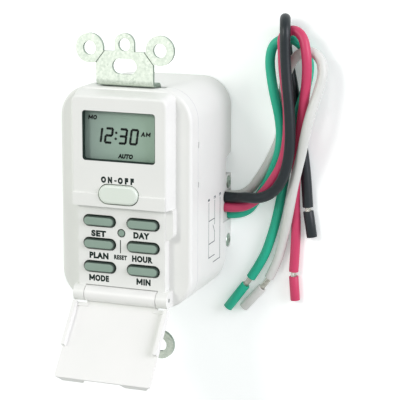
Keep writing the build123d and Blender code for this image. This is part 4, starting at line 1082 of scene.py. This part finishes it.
# %% Side print
on_side = Matrix(((0, 0, 1, case_side), (1, 0, 0, 0), (0, 1, 0, 0), (0, 0, 0, 1)))
sketch_width = 0.26
sketch_lines = (
    ((-21.6, 22.2), (-3.4, 22.2)),
    ((-17.0, 22.2), (-17.0, 16.6)),
    ((-21.6, 22.2), (-21.6, 16.6)),
    ((-23.8, 18.0), (-23.8, 11.4)),
    ((-17.0, 16.6), (-13.8, 16.6)),
    ((-13.8, 16.6), (-11.4, 18.2)),
    ((-11.4, 16.6), (-3.4, 16.6)),
    ((-23.8, 11.4), (-3.4, 11.4)),
    ((-9.4, 22.2), (-9.4, 16.6)),
)
side_marks = [
    flat_line(start, end, sketch_width, on_side, print_thickness * (1 + number / 20))
    for number, (start, end) in enumerate(sketch_lines)
]
for words, width, height_place in (("1", 0.7, 22.2), ("2", 1.05, 16.6), ("3", 1.05, 11.4)):
    side_marks.append(flat_word(words, 1.6, width, (-2.4, height_place), on_side))
side_print = inked(side_marks, "side_wiring_sketch", side_ink)
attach(side_print, "housing")

# %% [markdown]
# ## Finishes for the ready-made solids
# Inside, the boards are glass-fibre laminate under green solder mask, and the parts on them are
# cast resin, black thermoplastic or metal cans. All of them get the finish of the real thing.

# %% Finishes inside the case
# Solder mask is a thin lacquer: deep green, and smoother than the plastics
board_green = moulded("green_solder_mask", "#2f6b4a", "#2a5f43", 0.34, 0.5, 0.003)
# Moulded thermoplastic of chips, headers and diodes: dull and nearly black
part_black = moulded("black_thermoplastic", "#23262a", "#2b2e32", 0.5)
# The relay's case is moulded polyester, a clean satin blue
relay_blue = moulded("blue_relay_case", "#2c5fa3", "#285793", 0.38)
# Cast resin round a wound film: warm yellow, a little uneven
film_yellow = moulded("yellow_film_resin", "#d8b23f", "#cfa738", 0.4)
# A heat-shrunk sleeve is drawn tight, so it is smooth and shines softly
sleeve_black = soft_pvc("black_heat_shrink", "#1f2226", "#292c30", 0.35)
# Dipped epoxy runs before it sets, which leaves a glossy blue skin
disc_blue = moulded("blue_epoxy_dip", "#3d5fae", "#36559e", 0.3)
# Moulded polycarbonate of the display's frame: plain matt white
frame_white = moulded("white_polycarbonate", "#e6e8e6", "#dddfdd", 0.45)
# Layered silicone contact strips: soft, matt and pink
strip_pink = soft_pvc("pink_contact_elastomer", "#c98f96", "#bf858c", 0.6)
print("finishes:", len(bpy.data.materials))

# %% [markdown]
# Each finish goes on the nodes that are made of it. A node comes with its own material slot, and
# only what the slot holds is changed.

# %% Give each node its finish
key_nodes = ["key_set", "key_day", "key_program", "key_hour", "key_mode", "key_minute"]
finishes = {
    case_abs: ("front_housing", "rear_housing", "lead_cover"),
    door_abs: ("keypad_door",),
    mint_abs: ("on_off_button",),
    key_abs: (*key_nodes, "reset_button"),
    zinc_steel: ("mounting_strap",),
    pin_steel: ("hinge_pin",),
    clear_cover: ("display_window",),
    cell_film: ("display_glass",),
    frame_white: ("display_frame",),
    strip_pink: ("display_contact_strips",),
    mat_rubber: ("key_mat",),
    grommet_rubber: ("lead_grommet",),
    board_green: ("logic_board", "power_board"),
    part_black: ("controller_chip", "board_header", "rectifier_diodes"),
    relay_blue: ("relay",),
    film_yellow: ("film_capacitor",),
    sleeve_black: ("smoothing_capacitor",),
    disc_blue: ("varistor",),
    nickel: ("clock_crystal", "backup_cell", "cell_clip"),
    zinc_screw: ("logic_board_screws",),
}
for finish, names in finishes.items():
    for name in names:
        for material_slot in nodes[name].material_slots:
            material_slot.material = finish
print("finished nodes:", sum(len(names) for names in finishes.values()))

# %% [markdown]
# ## Floor and light
# The switch lies on white paper. The paper glows faintly, but only for rays that show it:
# straight to the camera, mirrored or through the clear window. So it looks white all the way out,
# while the light that it throws back on the object stays that of plain paper.

# %% Floor
def shown_rays(finish):
    """1 for a ray that shows this to the camera: straight, mirrored or through glass."""
    rays = add_node(finish, "ShaderNodeLightPath").outputs
    either = {0: rays["Is Camera Ray"], 1: rays["Is Glossy Ray"]}
    mirrored = add_node(finish, "ShaderNodeMath", either, operation="MAXIMUM").outputs[0]
    either = {0: mirrored, 1: rays["Is Transmission Ray"]}
    return add_node(finish, "ShaderNodeMath", either, operation="MAXIMUM").outputs[0]


# The glow in metres from the middle: weak round the object, so that its shadow stays, full far out
near_reach, far_reach = 0.2, 0.7
near_glow, far_glow = 0.28, 0.75
paper_width = 6
bpy.ops.mesh.primitive_plane_add(size=paper_width)
floor = bpy.context.object
floor.name = "paper_floor"
# Matt paper: white with fibres drawn coarse enough to show, and no shine
paper_looks = {"Roughness": 0.9, "Specular IOR Level": 0.1, "Emission Color": linear("#e9f6f3")}
paper, paper_shader, place = new_finish("white_seamless_paper", paper_looks)
shown = shown_rays(paper)
pulp = {"Vector": place, "Scale": 1 / (1.5 * MM), "Detail": 3.0}
fibres = add_node(paper, "ShaderNodeTexNoise", pulp)
tones = {0: fibres.outputs["Fac"], 6: linear("#ffffff"), 7: linear("#fcfdfc")}
fibre_tone = add_node(paper, "ShaderNodeMix", tones, data_type="RGBA")
tones = {0: shown, 6: linear("#eef1ef"), 7: fibre_tone.outputs[2]}
paper_tone = add_node(paper, "ShaderNodeMix", tones, data_type="RGBA").outputs[2]
away = add_node(paper, "ShaderNodeVectorMath", {0: place}, operation="LENGTH")
reach = {"Value": away.outputs["Value"], "From Min": near_reach, "From Max": far_reach}
glow = add_node(paper, "ShaderNodeMapRange", {**reach, "To Min": near_glow, "To Max": far_glow})
both = {0: shown, 1: glow.outputs["Result"]}
shown_glow = add_node(paper, "ShaderNodeMath", both, operation="MULTIPLY").outputs[0]
connect(paper, paper_shader, {"Base Color": paper_tone, "Emission Strength": shown_glow})
floor.data.materials.append(paper)
print("floor:", floor.name)

# %% [markdown]
# Three soft lamps light the switch: one from above and a little to the upper left, whose shadow
# falls to the lower right, a cooler one from the right that lifts the side of the case, and a
# weak one from the left. The world adds even light. A lamp's power is worked out from the level
# that it should give on the floor, so that the levels add up to about one and a colour renders
# about as it is written.

# %% Lamps
def soft_lamp(name, place, size, level, colour):
    """An area lamp aimed at the object whose light on the floor there has a given level."""
    aim = Vector((10, 0, 20)) * MM
    away = Vector(place) - aim
    lamp = bpy.data.lights.new(name, "AREA")
    lamp.shape = "DISK"
    lamp.size = size
    lamp.energy = level * pi**2 * away.length**2 * away.length / away.z
    lamp.color = linear(colour)[:3]
    thing = bpy.data.objects.new(name, lamp)
    turned = away.to_track_quat("Z", "Y").to_matrix().to_4x4()
    thing.matrix_world = Matrix.Translation(place) @ turned
    bpy.context.scene.collection.objects.link(thing)
    print(name, round(lamp.energy, 2), "W")


soft_lamp("window_lamp", (-0.42, 0.46, 1.0), 0.35, 0.235, "#fffefa")
soft_lamp("side_lamp", (1.1, 0.42, 0.42), 0.8, 0.215, "#faf4ff")
soft_lamp("left_lamp", (-1.0, 0.2, 0.5), 0.8, 0.08, "#fdfffc")

# %% [markdown]
# The world gives half of its light to the object and shows as plain white where it is seen.

# %% World
world = bpy.context.scene.world or bpy.data.worlds.new("studio")
bpy.context.scene.world = world
world.use_nodes = True
sky_shown = shown_rays(world)
tones = {0: sky_shown, 6: linear("#fbfcfa"), 7: linear("#ffffff")}
sky_tone = add_node(world, "ShaderNodeMix", tones, data_type="RGBA").outputs[2]
levels = {"Value": sky_shown, "To Min": 0.5, "To Max": 1.0}
sky_level = add_node(world, "ShaderNodeMapRange", levels).outputs["Result"]
connect(world, world.node_tree.nodes["Background"], {"Color": sky_tone, "Strength": sky_level})
bpy.context.scene.view_settings.view_transform = "Standard"
print("view:", bpy.context.scene.view_settings.view_transform)
